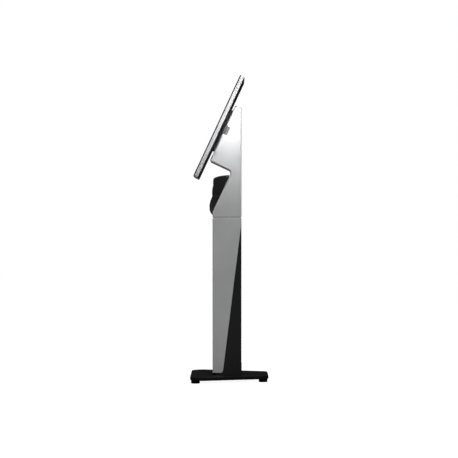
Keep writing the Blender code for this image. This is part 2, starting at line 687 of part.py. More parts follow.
def build_fan(frame, black):
    """The fan under the rear cover's vents: a frame with a hub pin, and the rotor that turns on it."""
    spot = (0.0, FAN_MIDDLE[0], FAN_MIDDLE[1])
    floor_top = FAN_Y[0] + 0.0014
    bm = block((-FAN_HALF, FAN_HALF), FAN_Y, (spot[2] - FAN_HALF, spot[2] + FAN_HALF))
    fan = add("fan_frame", bm, black, frame)
    centre = (0.0, 0.0, spot[2])
    cut(fan, [rod(0.0280, floor_top, THROUGH, centre, "y", 24), rod(0.0150, 0.0, THROUGH, centre, "y", 16)])
    strut_y = (FAN_Y[0] + 0.0002, FAN_Y[0] + 0.0011)
    strut = block((-0.0290, 0.0290), strut_y, (spot[2] - 0.004, spot[2] + 0.004))
    join(fan, [strut, rod(FAN_PIN_RADIUS, FAN_Y[0] + 0.0005, spot[1] + 0.0010, centre, "y", 12)])
    hub = rod(0.0110, spot[1] - 0.0020, spot[1] + 0.0034, centre, "y", 16)
    rotor = add("fan_rotor", hub, black, frame, spot)
    blades = []
    for number in range(7):
        bm = block((0.0100, 0.0262), (-0.0005, 0.0005), (-0.0036, 0.0036))
        pitch = Matrix.Rotation(math.radians(38.0), 4, "X")
        turn = Matrix.Rotation(math.tau * number / 7, 4, "Y")
        bm.transform(Matrix.Translation(spot) @ turn @ pitch)
        blades.append(bm)
    join(rotor, blades)
    cut(rotor, [rod(FAN_PIN_RADIUS + GAP, 0.0, spot[1] + 0.0016, centre, "y", 12)])


def printer_back(height):
    """Give the y of the printer's sloping back at a height."""
    return line_at_height(PRINTER_BACK_Y, height)[0]


def build_printer(black, rubber, steel, paper, grey):
    """Printer body, its base with the chin, lid, flap, rollers, paper roll and feed button."""
    outline = [
        (-0.0794, 0.8688),
        (-0.0815, 0.8750),
        (-0.0790, 0.9070),
        (-0.0762, 0.9160),
        (-0.0762, 0.9400),
        *reversed(LID_LINE),
        (printer_back(0.9630), 0.9630),
        (printer_back(0.8688), 0.8688),
    ]
    body = add("printer_body", prism(outline, -PRINTER_HALF, PRINTER_HALF, "x"), black)
    bay = [
        (-0.0765, 0.8765),
        (-0.0755, 0.9050),
        (-0.0728, 0.9160),
        (-0.0728, 0.9405),
        (-0.1000, 0.9405),
        (-0.1000, 1.0000),
        (0.0100, 1.0000),
        (0.0100, 0.9520),
        (printer_back(0.9520) - 0.0033, 0.9520),
        (printer_back(0.8735) - 0.0033, 0.8735),
        (-0.0760, 0.8735),
    ]
    wall = PRINTER_HALF - PRINTER_WALL
    button = (FEED_BUTTON[0], 0.0, FEED_BUTTON[1])
    holes = [
        prism(bay, -wall, wall, "x"),
        rod(PIN_RADIUS + GAP, -THROUGH, THROUGH, (0.0, *LID_PIN), "x", 12),
        rod(0.0043, -0.09, -0.07, button, "y", 16),
    ]
    cut(body, holes)
    profile = [
        (0.0, FEED_BUTTON_Y),
        (0.0035, FEED_BUTTON_Y),
        (0.0040, FEED_BUTTON_Y + 0.0005),
        (0.0040, FEED_BUTTON_Y + 0.0047),
        (0.0052, FEED_BUTTON_Y + 0.0047),
        (0.0052, FEED_BUTTON_Y + 0.0062),
        (0.0, FEED_BUTTON_Y + 0.0062),
    ]
    spot = (FEED_BUTTON[0], FEED_BUTTON_Y, FEED_BUTTON[1])
    add("feed_button", turned(profile, button, "y", 16), grey, origin=spot)
    add("lid_pin", rod(PIN_RADIUS, -PRINTER_HALF, PRINTER_HALF, (0.0, *LID_PIN), "x", 12), steel)

    under = [(-0.0720, 0.9440), (-0.0690, 0.9480), (-0.0550, 0.9545), (-0.0365, 0.9586), (-0.0045, 0.9620)]
    lid = add("printer_lid", prism(LID_LINE + under, -LID_HALF, LID_HALF, "x"), black, origin=(0.0, *LID_PIN))
    ears = []
    cheeks = []
    cheek = [(-0.0715, 0.9455), (-0.0705, 0.9405), (-0.0605, 0.9405), (-0.0590, 0.9540), (-0.0690, 0.9500)]
    for side in (-1, 1):
        x = sorted((side * 0.0490, side * 0.0560))
        ears.append(rod(0.0038, x[0], x[1], (0.0, *LID_PIN), "x", 16))
        ears.append(block(x, (LID_PIN[0] - 0.003, LID_PIN[0] + 0.003), (LID_PIN[1], LID_PIN[1] + 0.0045)))
        x = sorted((side * 0.0440, side * 0.0475))
        cheeks.append(prism(cheek, x[0], x[1], "x"))
    join(lid, ears + cheeks)
    cut(lid, [
        rod(PIN_RADIUS + GAP, -THROUGH, THROUGH, (0.0, *LID_PIN), "x", 12),
        rod(0.0015 + GAP, -THROUGH, THROUGH, (0.0, *PLATEN_CENTRE), "x", 12),
    ])
    profile = [
        (0.0, -0.0470),
        (0.0015, -0.0470),
        (0.0015, -0.0425),
        (PLATEN_RADIUS, -0.0425),
        (PLATEN_RADIUS, 0.0425),
        (0.0015, 0.0425),
        (0.0015, 0.0470),
        (0.0, 0.0470),
    ]
    axle = (0.0, *PLATEN_CENTRE)
    add("platen_roller", turned(profile, axle, "x", 20), rubber, origin=axle)
    head_z = (0.9340, PLATEN_CENTRE[1] - PLATEN_RADIUS - 0.0004)
    add("print_head", block((-0.0420, 0.0420), (-0.0722, -0.0645), head_z), steel)

    profile = [
        (0.0063, -ROLL_HALF),
        (ROLL_RADIUS, -ROLL_HALF),
        (ROLL_RADIUS, ROLL_HALF),
        (0.0063, ROLL_HALF),
    ]
    add("paper_roll", turned(profile, (0.0, *ROLL_CENTRE), "x"), paper, origin=(0.0, *ROLL_CENTRE))
    add("paper_spindle", rod(0.0060, -wall + 0.0004, wall - 0.0004, (0.0, *ROLL_CENTRE), "x", 16), grey)

    base_line = [
        *CHIN_LINE,
        (-0.0803, printer_back_foot()),
        (printer_back(0.8680), 0.8680),
    ]
    base = add("printer_base", prism(base_line, -PRINTER_HALF, PRINTER_HALF, "x"), black)
    room = [(-0.0790, 0.8640), (-0.1000, 0.8640), (-0.1000, 0.7858), (-0.0808, 0.7858), (-0.0790, 0.7900)]
    side = FLAP_HALF + 0.0004
    cut(base, [
        prism(room, -side, side, "x"),
        rod(PIN_RADIUS + GAP, -THROUGH, THROUGH, (0.0, *FLAP_PIN), "x", 12),
        rod(0.0052, -side, side, (0.0, *FLAP_PIN), "x", 16),
    ])
    add("flap_pin", rod(PIN_RADIUS, -PRINTER_HALF, PRINTER_HALF, (0.0, *FLAP_PIN), "x", 12), steel)
    skin = [(y, z) for y, z in CHIN_LINE if 0.7950 < z < 0.8600]
    foot = [(-0.0884, 0.7905), (-0.0838, 0.7865), (-0.0800, 0.7890)]
    outline = [(-0.0822, 0.8632), *skin, *foot, (-0.0796, 0.8632)]
    flap = add("printer_flap", prism(outline, -FLAP_HALF, FLAP_HALF, "x"), black, origin=(0.0, *FLAP_PIN))
    hollow = [
        (-0.0820, 0.8520),
        (-0.0860, 0.8450),
        (-0.0888, 0.8360),
        (-0.0908, 0.8240),
        (-0.0909, 0.8150),
        (-0.0897, 0.8010),
        (-0.0880, 0.7975),
        (-0.0700, 0.7975),
        (-0.0700, 0.8520),
    ]
    cut(flap, [
        prism(hollow, -FLAP_HALF + 0.0025, FLAP_HALF - 0.0025, "x"),
        rod(PIN_RADIUS + GAP, -THROUGH, THROUGH, (0.0, *FLAP_PIN), "x", 12),
    ])


def printer_back_foot():
    """Give the height where the printer's sloping back meets its lower rear edge."""
    rise = 1.0 / math.tan(SCREEN_TILT)
    y, z = line_at_height(PRINTER_BACK_Y, 0.8000)
    return z + (-0.0803 - y) * rise


def main():
    """Build the kiosk."""
    clear_scene()
    black = finish("black_satin", (0.012, 0.012, 0.013), 0.42)
    silver = finish("silver_paint", (0.62, 0.63, 0.64), 0.38, 0.35)
    steel = finish("black_steel", (0.03, 0.03, 0.032), 0.5, 0.4)
    zinc = finish("zinc", (0.62, 0.62, 0.6), 0.35, 1.0)
    rubber = finish("rubber", (0.02, 0.02, 0.02), 0.8)
    plastic = finish("moulded_plastic", (0.025, 0.025, 0.027), 0.5)
    grey = finish("grey_plastic", (0.42, 0.42, 0.43), 0.5)
    glass = finish("dark_glass", (0.008, 0.008, 0.01), 0.08)
    panel = finish("display", (0.01, 0.01, 0.012), 0.2)
    board = finish("circuit_board", (0.02, 0.12, 0.05), 0.45)
    paper = finish("paper", (0.85, 0.85, 0.83), 0.8)
    build_base(steel, rubber)
    build_column(black, silver, steel, zinc)
    build_door(black, zinc)
    build_supply(plastic, black)
    build_head(silver, steel, grey)
    build_screen(glass, black, silver, panel, board, zinc)
    build_printer(black, rubber, zinc, paper, grey)


main()
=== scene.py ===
"""Looks of the touchscreen kiosk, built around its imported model.

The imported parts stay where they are. Each sub-assembly class below makes the finer shells of one part of the
kiosk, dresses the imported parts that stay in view, and reports what it made.
"""

import json
import logging
import math
from collections.abc import Iterable, Sequence
from dataclasses import dataclass
from enum import Enum

import bmesh
import bpy
from mathutils import Matrix, Vector

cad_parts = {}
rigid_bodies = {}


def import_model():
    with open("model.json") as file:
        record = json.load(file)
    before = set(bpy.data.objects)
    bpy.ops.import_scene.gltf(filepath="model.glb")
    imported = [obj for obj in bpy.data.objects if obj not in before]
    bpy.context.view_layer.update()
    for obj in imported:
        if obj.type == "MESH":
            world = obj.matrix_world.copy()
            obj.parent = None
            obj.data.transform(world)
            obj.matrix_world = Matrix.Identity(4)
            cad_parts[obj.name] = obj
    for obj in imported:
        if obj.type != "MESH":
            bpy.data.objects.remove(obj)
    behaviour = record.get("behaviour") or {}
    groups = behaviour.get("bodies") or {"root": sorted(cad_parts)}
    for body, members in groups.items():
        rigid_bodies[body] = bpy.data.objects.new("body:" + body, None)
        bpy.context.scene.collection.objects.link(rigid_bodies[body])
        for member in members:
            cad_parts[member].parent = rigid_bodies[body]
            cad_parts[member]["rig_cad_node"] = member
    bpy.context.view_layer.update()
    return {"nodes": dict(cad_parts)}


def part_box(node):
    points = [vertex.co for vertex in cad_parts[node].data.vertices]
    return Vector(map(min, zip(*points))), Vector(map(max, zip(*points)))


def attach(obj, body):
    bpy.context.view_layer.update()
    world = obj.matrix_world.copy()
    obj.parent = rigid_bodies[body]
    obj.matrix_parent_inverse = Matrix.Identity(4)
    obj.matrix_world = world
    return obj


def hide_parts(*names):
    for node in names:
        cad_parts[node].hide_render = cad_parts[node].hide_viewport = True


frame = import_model()

Point = tuple[float, float]
Corner = tuple[float, float, float]
Place = tuple[float, float, float]
Colour = tuple[float, float, float]

LOG = logging.getLogger("kiosk")
SCREEN_TILT = math.radians(25.0)
GAP = 0.0003
THROUGH = 0.1
PIN_HOLE = 0.00155


class Axis(Enum):
    """The direction that a profile is extruded or turned along."""

    X = "x"
    Y = "y"
    Z = "z"


class Texture(Enum):
    """The kinds of surface that a finish can have."""

    POWDER = "powder coat"
    SATIN = "satin paint"
    BRUSHED = "brushed metal"
    MOULDED = "moulded plastic"
    RUBBER = "rubber"
    PAPER = "paper"
    BOARD = "circuit board"


@dataclass(frozen=True)
class Finish:
    """A finish and the numbers that its procedural material is built from.

    Attributes:
        name: Name of the material.
        texture: Kind of surface.
        colour: Base colour, linear.
        roughness: Mean roughness.
        metallic: Metallic value.
        grain: Size of the surface grain in metres.
        relief: Height of the grain in metres.
        wear: Strength of the lighter edges.
        coat: Weight of a clear coat.
        gloss: Specular level, 0.5 for a common dielectric.
    """

    name: str
    texture: Texture
    colour: Colour
    roughness: float
    metallic: float = 0.0
    grain: float = 0.0008
    relief: float = 0.00002
    wear: float = 0.25
    coat: float = 0.0
    gloss: float = 0.5


SILVER = Finish(
    "silver_satin_paint", Texture.SATIN, (0.60, 0.605, 0.61), 0.36,
    metallic=0.30, grain=0.0006, relief=0.000008, wear=0.20, coat=0.10,
)
CHASSIS = Finish(
    "anodised_silver", Texture.BRUSHED, (0.52, 0.525, 0.53), 0.50,
    grain=0.0005, relief=0.000001, wear=0.0, gloss=0.3,
)
BLACK_SHEET = Finish(
    "black_powder_coat", Texture.POWDER, (0.0085, 0.0085, 0.0090), 0.5,
    grain=0.0009, relief=0.00003, wear=0.35, gloss=0.14,
)
BASE_COAT = Finish(
    "base_powder_coat", Texture.POWDER, (0.0055, 0.0055, 0.0060), 0.55,
    grain=0.0011, relief=0.00003, wear=0.40, gloss=0.08,
)
FRAME_COAT = Finish(
    "frame_primer", Texture.POWDER, (0.022, 0.022, 0.023), 0.55,
    metallic=0.1, grain=0.0012, relief=0.00003, wear=0.5, gloss=0.2,
)
ZINC = Finish(
    "zinc_plate", Texture.BRUSHED, (0.55, 0.55, 0.53), 0.32,
    metallic=1.0, grain=0.0006, relief=0.00001, wear=0.2,
)
RUBBER = Finish(
    "foot_rubber", Texture.RUBBER, (0.010, 0.010, 0.010), 0.72,
    grain=0.0010, relief=0.00004, wear=0.3, gloss=0.2,
)
SCREEN_BLACK = Finish(
    "screen_moulding", Texture.MOULDED, (0.011, 0.011, 0.0115), 0.42,
    grain=0.0007, relief=0.00003, wear=0.25, gloss=0.2,
)
GLASS_EDGE = Finish(
    "glass_edge", Texture.SATIN, (0.004, 0.0045, 0.0045), 0.60,
    grain=0.0006, relief=0.000001, wear=0.0, gloss=0.05,
)
PRINTER_BLACK = Finish(
    "printer_moulding", Texture.MOULDED, (0.0095, 0.0095, 0.0100), 0.5,
    grain=0.0008, relief=0.00003, wear=0.3, gloss=0.12,
)
SUPPLY_BLACK = Finish(
    "supply_moulding", Texture.MOULDED, (0.016, 0.016, 0.017), 0.5,
    grain=0.0008, relief=0.00003, wear=0.3, gloss=0.2,
)
BLOCK_GREY = Finish(
    "mount_block_coat", Texture.POWDER, (0.016, 0.016, 0.017), 0.5,
    grain=0.0009, relief=0.00002, wear=0.3, gloss=0.2,
)
PORT_GREY = Finish(
    "port_moulding", Texture.MOULDED, (0.26, 0.26, 0.263), 0.5,
    grain=0.0008, relief=0.00002, wear=0.2,
)
# Shaded copy of the port moulding: its darker colour is painted shade along the front of the cable port's
# notch.
PORT_PAINTED_SHADE = Finish(
    "port_painted_shade", Texture.MOULDED, (0.12, 0.12, 0.123), 0.5,
    grain=0.0008, relief=0.00002, wear=0.2,
)
PLATEN = Finish(
    "platen_rubber", Texture.RUBBER, (0.03, 0.03, 0.03), 0.55,
    grain=0.0006, relief=0.00002, wear=0.1,
)
PAPER = Finish(
    "thermal_paper", Texture.PAPER, (0.80, 0.80, 0.78), 0.78,
    grain=0.0004, relief=0.00001, wear=0.1,
)
BOARD = Finish(
    "solder_mask", Texture.BOARD, (0.012, 0.085, 0.035), 0.38,
    grain=0.0015, relief=0.00002, wear=0.2,
)
DISPLAY = Finish(
    "display_stack", Texture.BRUSHED, (0.30, 0.30, 0.31), 0.4,
    metallic=0.8, grain=0.0006, relief=0.00001, wear=0.2,
)


class NodeGroups:
    """Shader node groups that more than one finish uses."""

    _made: dict[str, bpy.types.NodeTree] = {}

    @classmethod
    def _start(
        cls, name: str, inputs: Sequence[tuple[str, str, float]], outputs: Sequence[tuple[str, str]]
    ) -> tuple[bpy.types.NodeTree, bpy.types.Node, bpy.types.Node]:
        """Open a new group with its sockets.

        Args:
            name: Name of the group.
            inputs: Socket name, socket type and default value of each input.
            outputs: Socket name and socket type of each output.

        Returns:
            The group, its input node and its output node.
        """
        group = bpy.data.node_groups.new(name, "ShaderNodeTree")
        for label, kind, value in inputs:
            socket = group.interface.new_socket(name=label, in_out="INPUT", socket_type=kind)
            if kind == "NodeSocketFloat":
                socket.default_value = value
        for label, kind in outputs:
            group.interface.new_socket(name=label, in_out="OUTPUT", socket_type=kind)
        cls._made[name] = group
        return group, group.nodes.new("NodeGroupInput"), group.nodes.new("NodeGroupOutput")

    @classmethod
    def grain(cls) -> bpy.types.NodeTree:
        """Give the group that makes fine grain.

        Returns:
            A group with inputs Size and Stretch and outputs Height and Speckle.
        """
        if "Grain" in cls._made:
            return cls._made["Grain"]
        group, start, end = cls._start(
            "Grain",
            [("Size", "NodeSocketFloat", 0.001), ("Stretch", "NodeSocketFloat", 1.0)],
            [("Height", "NodeSocketFloat"), ("Speckle", "NodeSocketFloat")],
        )
        place = group.nodes.new("ShaderNodeTexCoord")
        flat = group.nodes.new("ShaderNodeCombineXYZ")
        flat.inputs[0].default_value = 1.0
        flat.inputs[1].default_value = 1.0
        group.links.new(start.outputs["Stretch"], flat.inputs[2])
        spread = group.nodes.new("ShaderNodeVectorMath")
        spread.operation = "MULTIPLY"
        group.links.new(place.outputs["Object"], spread.inputs[0])
        group.links.new(flat.outputs[0], spread.inputs[1])
        inverse = group.nodes.new("ShaderNodeMath")
        inverse.operation = "DIVIDE"
        inverse.inputs[0].default_value = 1.0
        group.links.new(start.outputs["Size"], inverse.inputs[1])
        noise = group.nodes.new("ShaderNodeTexNoise")
        noise.inputs["Detail"].default_value = 3.0
        noise.inputs["Roughness"].default_value = 0.55
        group.links.new(spread.outputs[0], noise.inputs["Vector"])
        group.links.new(inverse.outputs[0], noise.inputs["Scale"])
        group.links.new(noise.outputs["Fac"], end.inputs["Height"])
        slow = group.nodes.new("ShaderNodeTexNoise")
        slow.inputs["Scale"].default_value = 9.0
        slow.inputs["Detail"].default_value = 4.0
        group.links.new(place.outputs["Object"], slow.inputs["Vector"])
        group.links.new(slow.outputs["Fac"], end.inputs["Speckle"])
        return group

    @classmethod
    def edge_wear(cls) -> bpy.types.NodeTree:
        """Give the group that finds worn edges.

        Returns:
            A group with inputs Strength and Breakup and output Mask.
        """
        if "Edge wear" in cls._made:
            return cls._made["Edge wear"]
        group, start, end = cls._start(
            "Edge wear",
            [("Strength", "NodeSocketFloat", 0.3), ("Breakup", "NodeSocketFloat", 0.5)],
            [("Mask", "NodeSocketFloat")],
        )
        shape = group.nodes.new("ShaderNodeNewGeometry")
        sharp = group.nodes.new("ShaderNodeMapRange")
        sharp.inputs["From Min"].default_value = 0.52
        sharp.inputs["From Max"].default_value = 0.62
        group.links.new(shape.outputs["Pointiness"], sharp.inputs["Value"])
        rough = group.nodes.new("ShaderNodeMath")
        rough.operation = "MULTIPLY"
        group.links.new(sharp.outputs["Result"], rough.inputs[0])
        group.links.new(start.outputs["Breakup"], rough.inputs[1])
        level = group.nodes.new("ShaderNodeMath")
        level.operation = "MULTIPLY"
        level.use_clamp = True
        group.links.new(rough.outputs[0], level.inputs[0])
        group.links.new(start.outputs["Strength"], level.inputs[1])
        group.links.new(level.outputs[0], end.inputs["Mask"])
        return group

    @classmethod
    def settled_dust(cls) -> bpy.types.NodeTree:
        """Give the group that lays thin dust on faces that look up.

        Returns:
            A group with input Amount and output Mask.
        """
        if "Settled dust" in cls._made:
            return cls._made["Settled dust"]
        group, start, end = cls._start(
            "Settled dust", [("Amount", "NodeSocketFloat", 0.1)], [("Mask", "NodeSocketFloat")]
        )
        shape = group.nodes.new("ShaderNodeNewGeometry")
        parts = group.nodes.new("ShaderNodeSeparateXYZ")
        group.links.new(shape.outputs["Normal"], parts.inputs[0])
        up = group.nodes.new("ShaderNodeMapRange")
        up.inputs["From Min"].default_value = 0.7
        up.inputs["From Max"].default_value = 1.0
        group.links.new(parts.outputs["Z"], up.inputs["Value"])
        place = group.nodes.new("ShaderNodeTexCoord")
        clumps = group.nodes.new("ShaderNodeTexNoise")
        clumps.inputs["Scale"].default_value = 38.0
        clumps.inputs["Detail"].default_value = 6.0
        group.links.new(place.outputs["Object"], clumps.inputs["Vector"])
        patchy = group.nodes.new("ShaderNodeMath")
        patchy.operation = "MULTIPLY"
        group.links.new(up.outputs["Result"], patchy.inputs[0])
        group.links.new(clumps.outputs["Fac"], patchy.inputs[1])
        level = group.nodes.new("ShaderNodeMath")
        level.operation = "MULTIPLY"
        level.use_clamp = True
        group.links.new(patchy.outputs[0], level.inputs[0])
        group.links.new(start.outputs["Amount"], level.inputs[1])
        group.links.new(level.outputs[0], end.inputs["Mask"])
        return group


class Dresser:
    """Builds one material for each finish and puts it on pieces."""

    _made: dict[str, bpy.types.Material] = {}

    @staticmethod
    def _mix(
        tree: bpy.types.NodeTree, mask: bpy.types.NodeSocket, low: Colour, high: Colour
    ) -> bpy.types.NodeSocket:
        """Mix two fixed colours by a mask.

        Args:
            tree: Node tree of the material.
            mask: Socket that runs from 0 to 1.
            low: Colour at 0.
            high: Colour at 1.

        Returns:
            The colour socket.
        """
        node = tree.nodes.new("ShaderNodeMix")
        node.data_type = "RGBA"
        node.inputs["A"].default_value = (*low, 1.0)
        node.inputs["B"].default_value = (*high, 1.0)
        tree.links.new(mask, node.inputs["Factor"])
        return node.outputs["Result"]

    @staticmethod
    def _group(tree: bpy.types.NodeTree, group: bpy.types.NodeTree, **values: float) -> bpy.types.Node:
        """Place a node group with its own values.

        Args:
            tree: Node tree of the material.
            group: The group to place.
            **values: Input values by socket name.

        Returns:
            The group node.
        """
        node = tree.nodes.new("ShaderNodeGroup")
        node.node_tree = group
        for label, value in values.items():
            node.inputs[label].default_value = value
        return node

    @classmethod
    def material(cls, finish: Finish) -> bpy.types.Material:
        """Give the material of a finish.

        Args:
            finish: The finish to build.

        Returns:
            The material, built on the first call.
        """
        if finish.name in cls._made:
            return cls._made[finish.name]
        material = bpy.data.materials.new(finish.name)
        material.use_nodes = True
        tree = material.node_tree
        shader = tree.nodes["Principled BSDF"]
        shader.inputs["Metallic"].default_value = finish.metallic
        shader.inputs["Coat Weight"].default_value = finish.coat
        shader.inputs["Coat Roughness"].default_value = 0.25
        shader.inputs["Specular IOR Level"].default_value = finish.gloss

        stretch = 0.06 if finish.texture is Texture.BRUSHED else 1.0
        grain = cls._group(tree, NodeGroups.grain(), Size=finish.grain, Stretch=stretch)
        wear = cls._group(tree, NodeGroups.edge_wear(), Strength=finish.wear, Breakup=0.8)
        dust = cls._group(tree, NodeGroups.settled_dust(), Amount=0.02)

        dark = tuple(channel * 0.93 for channel in finish.colour)
        light = tuple(min(1.0, channel * 1.07) for channel in finish.colour)
        base = cls._mix(tree, grain.outputs["Speckle"], dark, light)
        worn = tree.nodes.new("ShaderNodeMix")
        worn.data_type = "RGBA"
        lift = 0.10 if sum(finish.colour) < 0.2 else 0.12
        worn.inputs["B"].default_value = (*[min(1.0, channel + lift) for channel in finish.colour], 1.0)
        tree.links.new(base, worn.inputs["A"])
        tree.links.new(wear.outputs["Mask"], worn.inputs["Factor"])
        dusty = tree.nodes.new("ShaderNodeMix")
        dusty.data_type = "RGBA"
        dusty.inputs["B"].default_value = (0.30, 0.29, 0.275, 1.0)
        tree.links.new(worn.outputs["Result"], dusty.inputs["A"])
        tree.links.new(dust.outputs["Mask"], dusty.inputs["Factor"])
        tree.links.new(dusty.outputs["Result"], shader.inputs["Base Color"])

        spread = 0.10 if finish.texture in (Texture.POWDER, Texture.RUBBER) else 0.06
        gloss = tree.nodes.new("ShaderNodeMapRange")
        gloss.inputs["From Min"].default_value = 0.3
        gloss.inputs["From Max"].default_value = 0.7
        gloss.inputs["To Min"].default_value = finish.roughness - spread / 2
        gloss.inputs["To Max"].default_value = finish.roughness + spread / 2
        tree.links.new(grain.outputs["Speckle"], gloss.inputs["Value"])
        tree.links.new(gloss.outputs["Result"], shader.inputs["Roughness"])

        bump = tree.nodes.new("ShaderNodeBump")
        bump.inputs["Strength"].default_value = 0.6
        bump.inputs["Distance"].default_value = finish.relief * 4
        tree.links.new(cls._relief(tree, finish, grain), bump.inputs["Height"])
        tree.links.new(bump.outputs["Normal"], shader.inputs["Normal"])
        cls._made[finish.name] = material
        return material

    @staticmethod
    def _relief(tree: bpy.types.NodeTree, finish: Finish, grain: bpy.types.Node) -> bpy.types.NodeSocket:
        """Choose the height that suits the kind of surface.

        Args:
            tree: Node tree of the material.
            finish: The finish being built.
            grain: Its grain node.

        Returns:
            A height socket.
        """
        if finish.texture not in (Texture.MOULDED, Texture.BOARD):
            return grain.outputs["Height"]
        place = tree.nodes.new("ShaderNodeTexCoord")
        cells = tree.nodes.new("ShaderNodeTexVoronoi")
        cells.feature = "DISTANCE_TO_EDGE" if finish.texture is Texture.BOARD else "F1"
        cells.inputs["Scale"].default_value = 1.0 / finish.grain
        tree.links.new(place.outputs["Object"], cells.inputs["Vector"])
        both = tree.nodes.new("ShaderNodeMath")
        both.operation = "ADD"
        tree.links.new(cells.outputs["Distance"], both.inputs[0])
        tree.links.new(grain.outputs["Height"], both.inputs[1])
        return both.outputs[0]

    @classmethod
    def glass(cls) -> bpy.types.Material:
        """Give the cover glass: black print round a display that is asleep, under a glossy face.

        Returns:
            The material.
        """
        name = "cover_glass"
        if name in cls._made:
            return cls._made[name]
        material = bpy.data.materials.new(name)
        material.use_nodes = True
        tree = material.node_tree
        shader = tree.nodes["Principled BSDF"]
        shader.inputs["IOR"].default_value = 1.5
        shader.inputs["Coat Weight"].default_value = 0.6
        shader.inputs["Coat Roughness"].default_value = 0.03
        place = tree.nodes.new("ShaderNodeTexCoord")
        window = tree.nodes.new("ShaderNodeVectorMath")
        window.operation = "ABSOLUTE"
        centre = tree.nodes.new("ShaderNodeVectorMath")
        centre.operation = "SUBTRACT"
        middle = Screen.to_world(Vector((0.0, 0.0, Screen.long / 2)))
        centre.inputs[1].default_value = middle
        tree.links.new(place.outputs["Object"], centre.inputs[0])
        tree.links.new(centre.outputs[0], window.inputs[0])
        parts = tree.nodes.new("ShaderNodeSeparateXYZ")
        tree.links.new(window.outputs[0], parts.inputs[0])
        across = tree.nodes.new("ShaderNodeMath")
        across.operation = "LESS_THAN"
        across.inputs[1].default_value = Screen.display_half
        tree.links.new(parts.outputs["X"], across.inputs[0])
        along = tree.nodes.new("ShaderNodeMath")
        along.operation = "LESS_THAN"
        along.inputs[1].default_value = 0.2385 * math.cos(SCREEN_TILT)
        tree.links.new(parts.outputs["Z"], along.inputs[0])
        inside = tree.nodes.new("ShaderNodeMath")
        inside.operation = "MULTIPLY"
        tree.links.new(across.outputs[0], inside.inputs[0])
        tree.links.new(along.outputs[0], inside.inputs[1])
        colour = cls._mix(tree, inside.outputs[0], (0.0035, 0.0035, 0.004), (0.010, 0.011, 0.013))
        tree.links.new(colour, shader.inputs["Base Color"])
        grain = cls._group(tree, NodeGroups.grain(), Size=0.02, Stretch=1.0)
        smear = tree.nodes.new("ShaderNodeMapRange")
        smear.inputs["From Min"].default_value = 0.35
        smear.inputs["From Max"].default_value = 0.75
        smear.inputs["To Min"].default_value = 0.045
        smear.inputs["To Max"].default_value = 0.12
        tree.links.new(grain.outputs["Speckle"], smear.inputs["Value"])
        tree.links.new(smear.outputs["Result"], shader.inputs["Roughness"])
        cls._made[name] = material
        return material

    @classmethod
    def paint(cls, item: bpy.types.Object, material: bpy.types.Material) -> None:
        """Put one material on the whole of a piece."""
        item.data.materials.clear()
        item.data.materials.append(material)


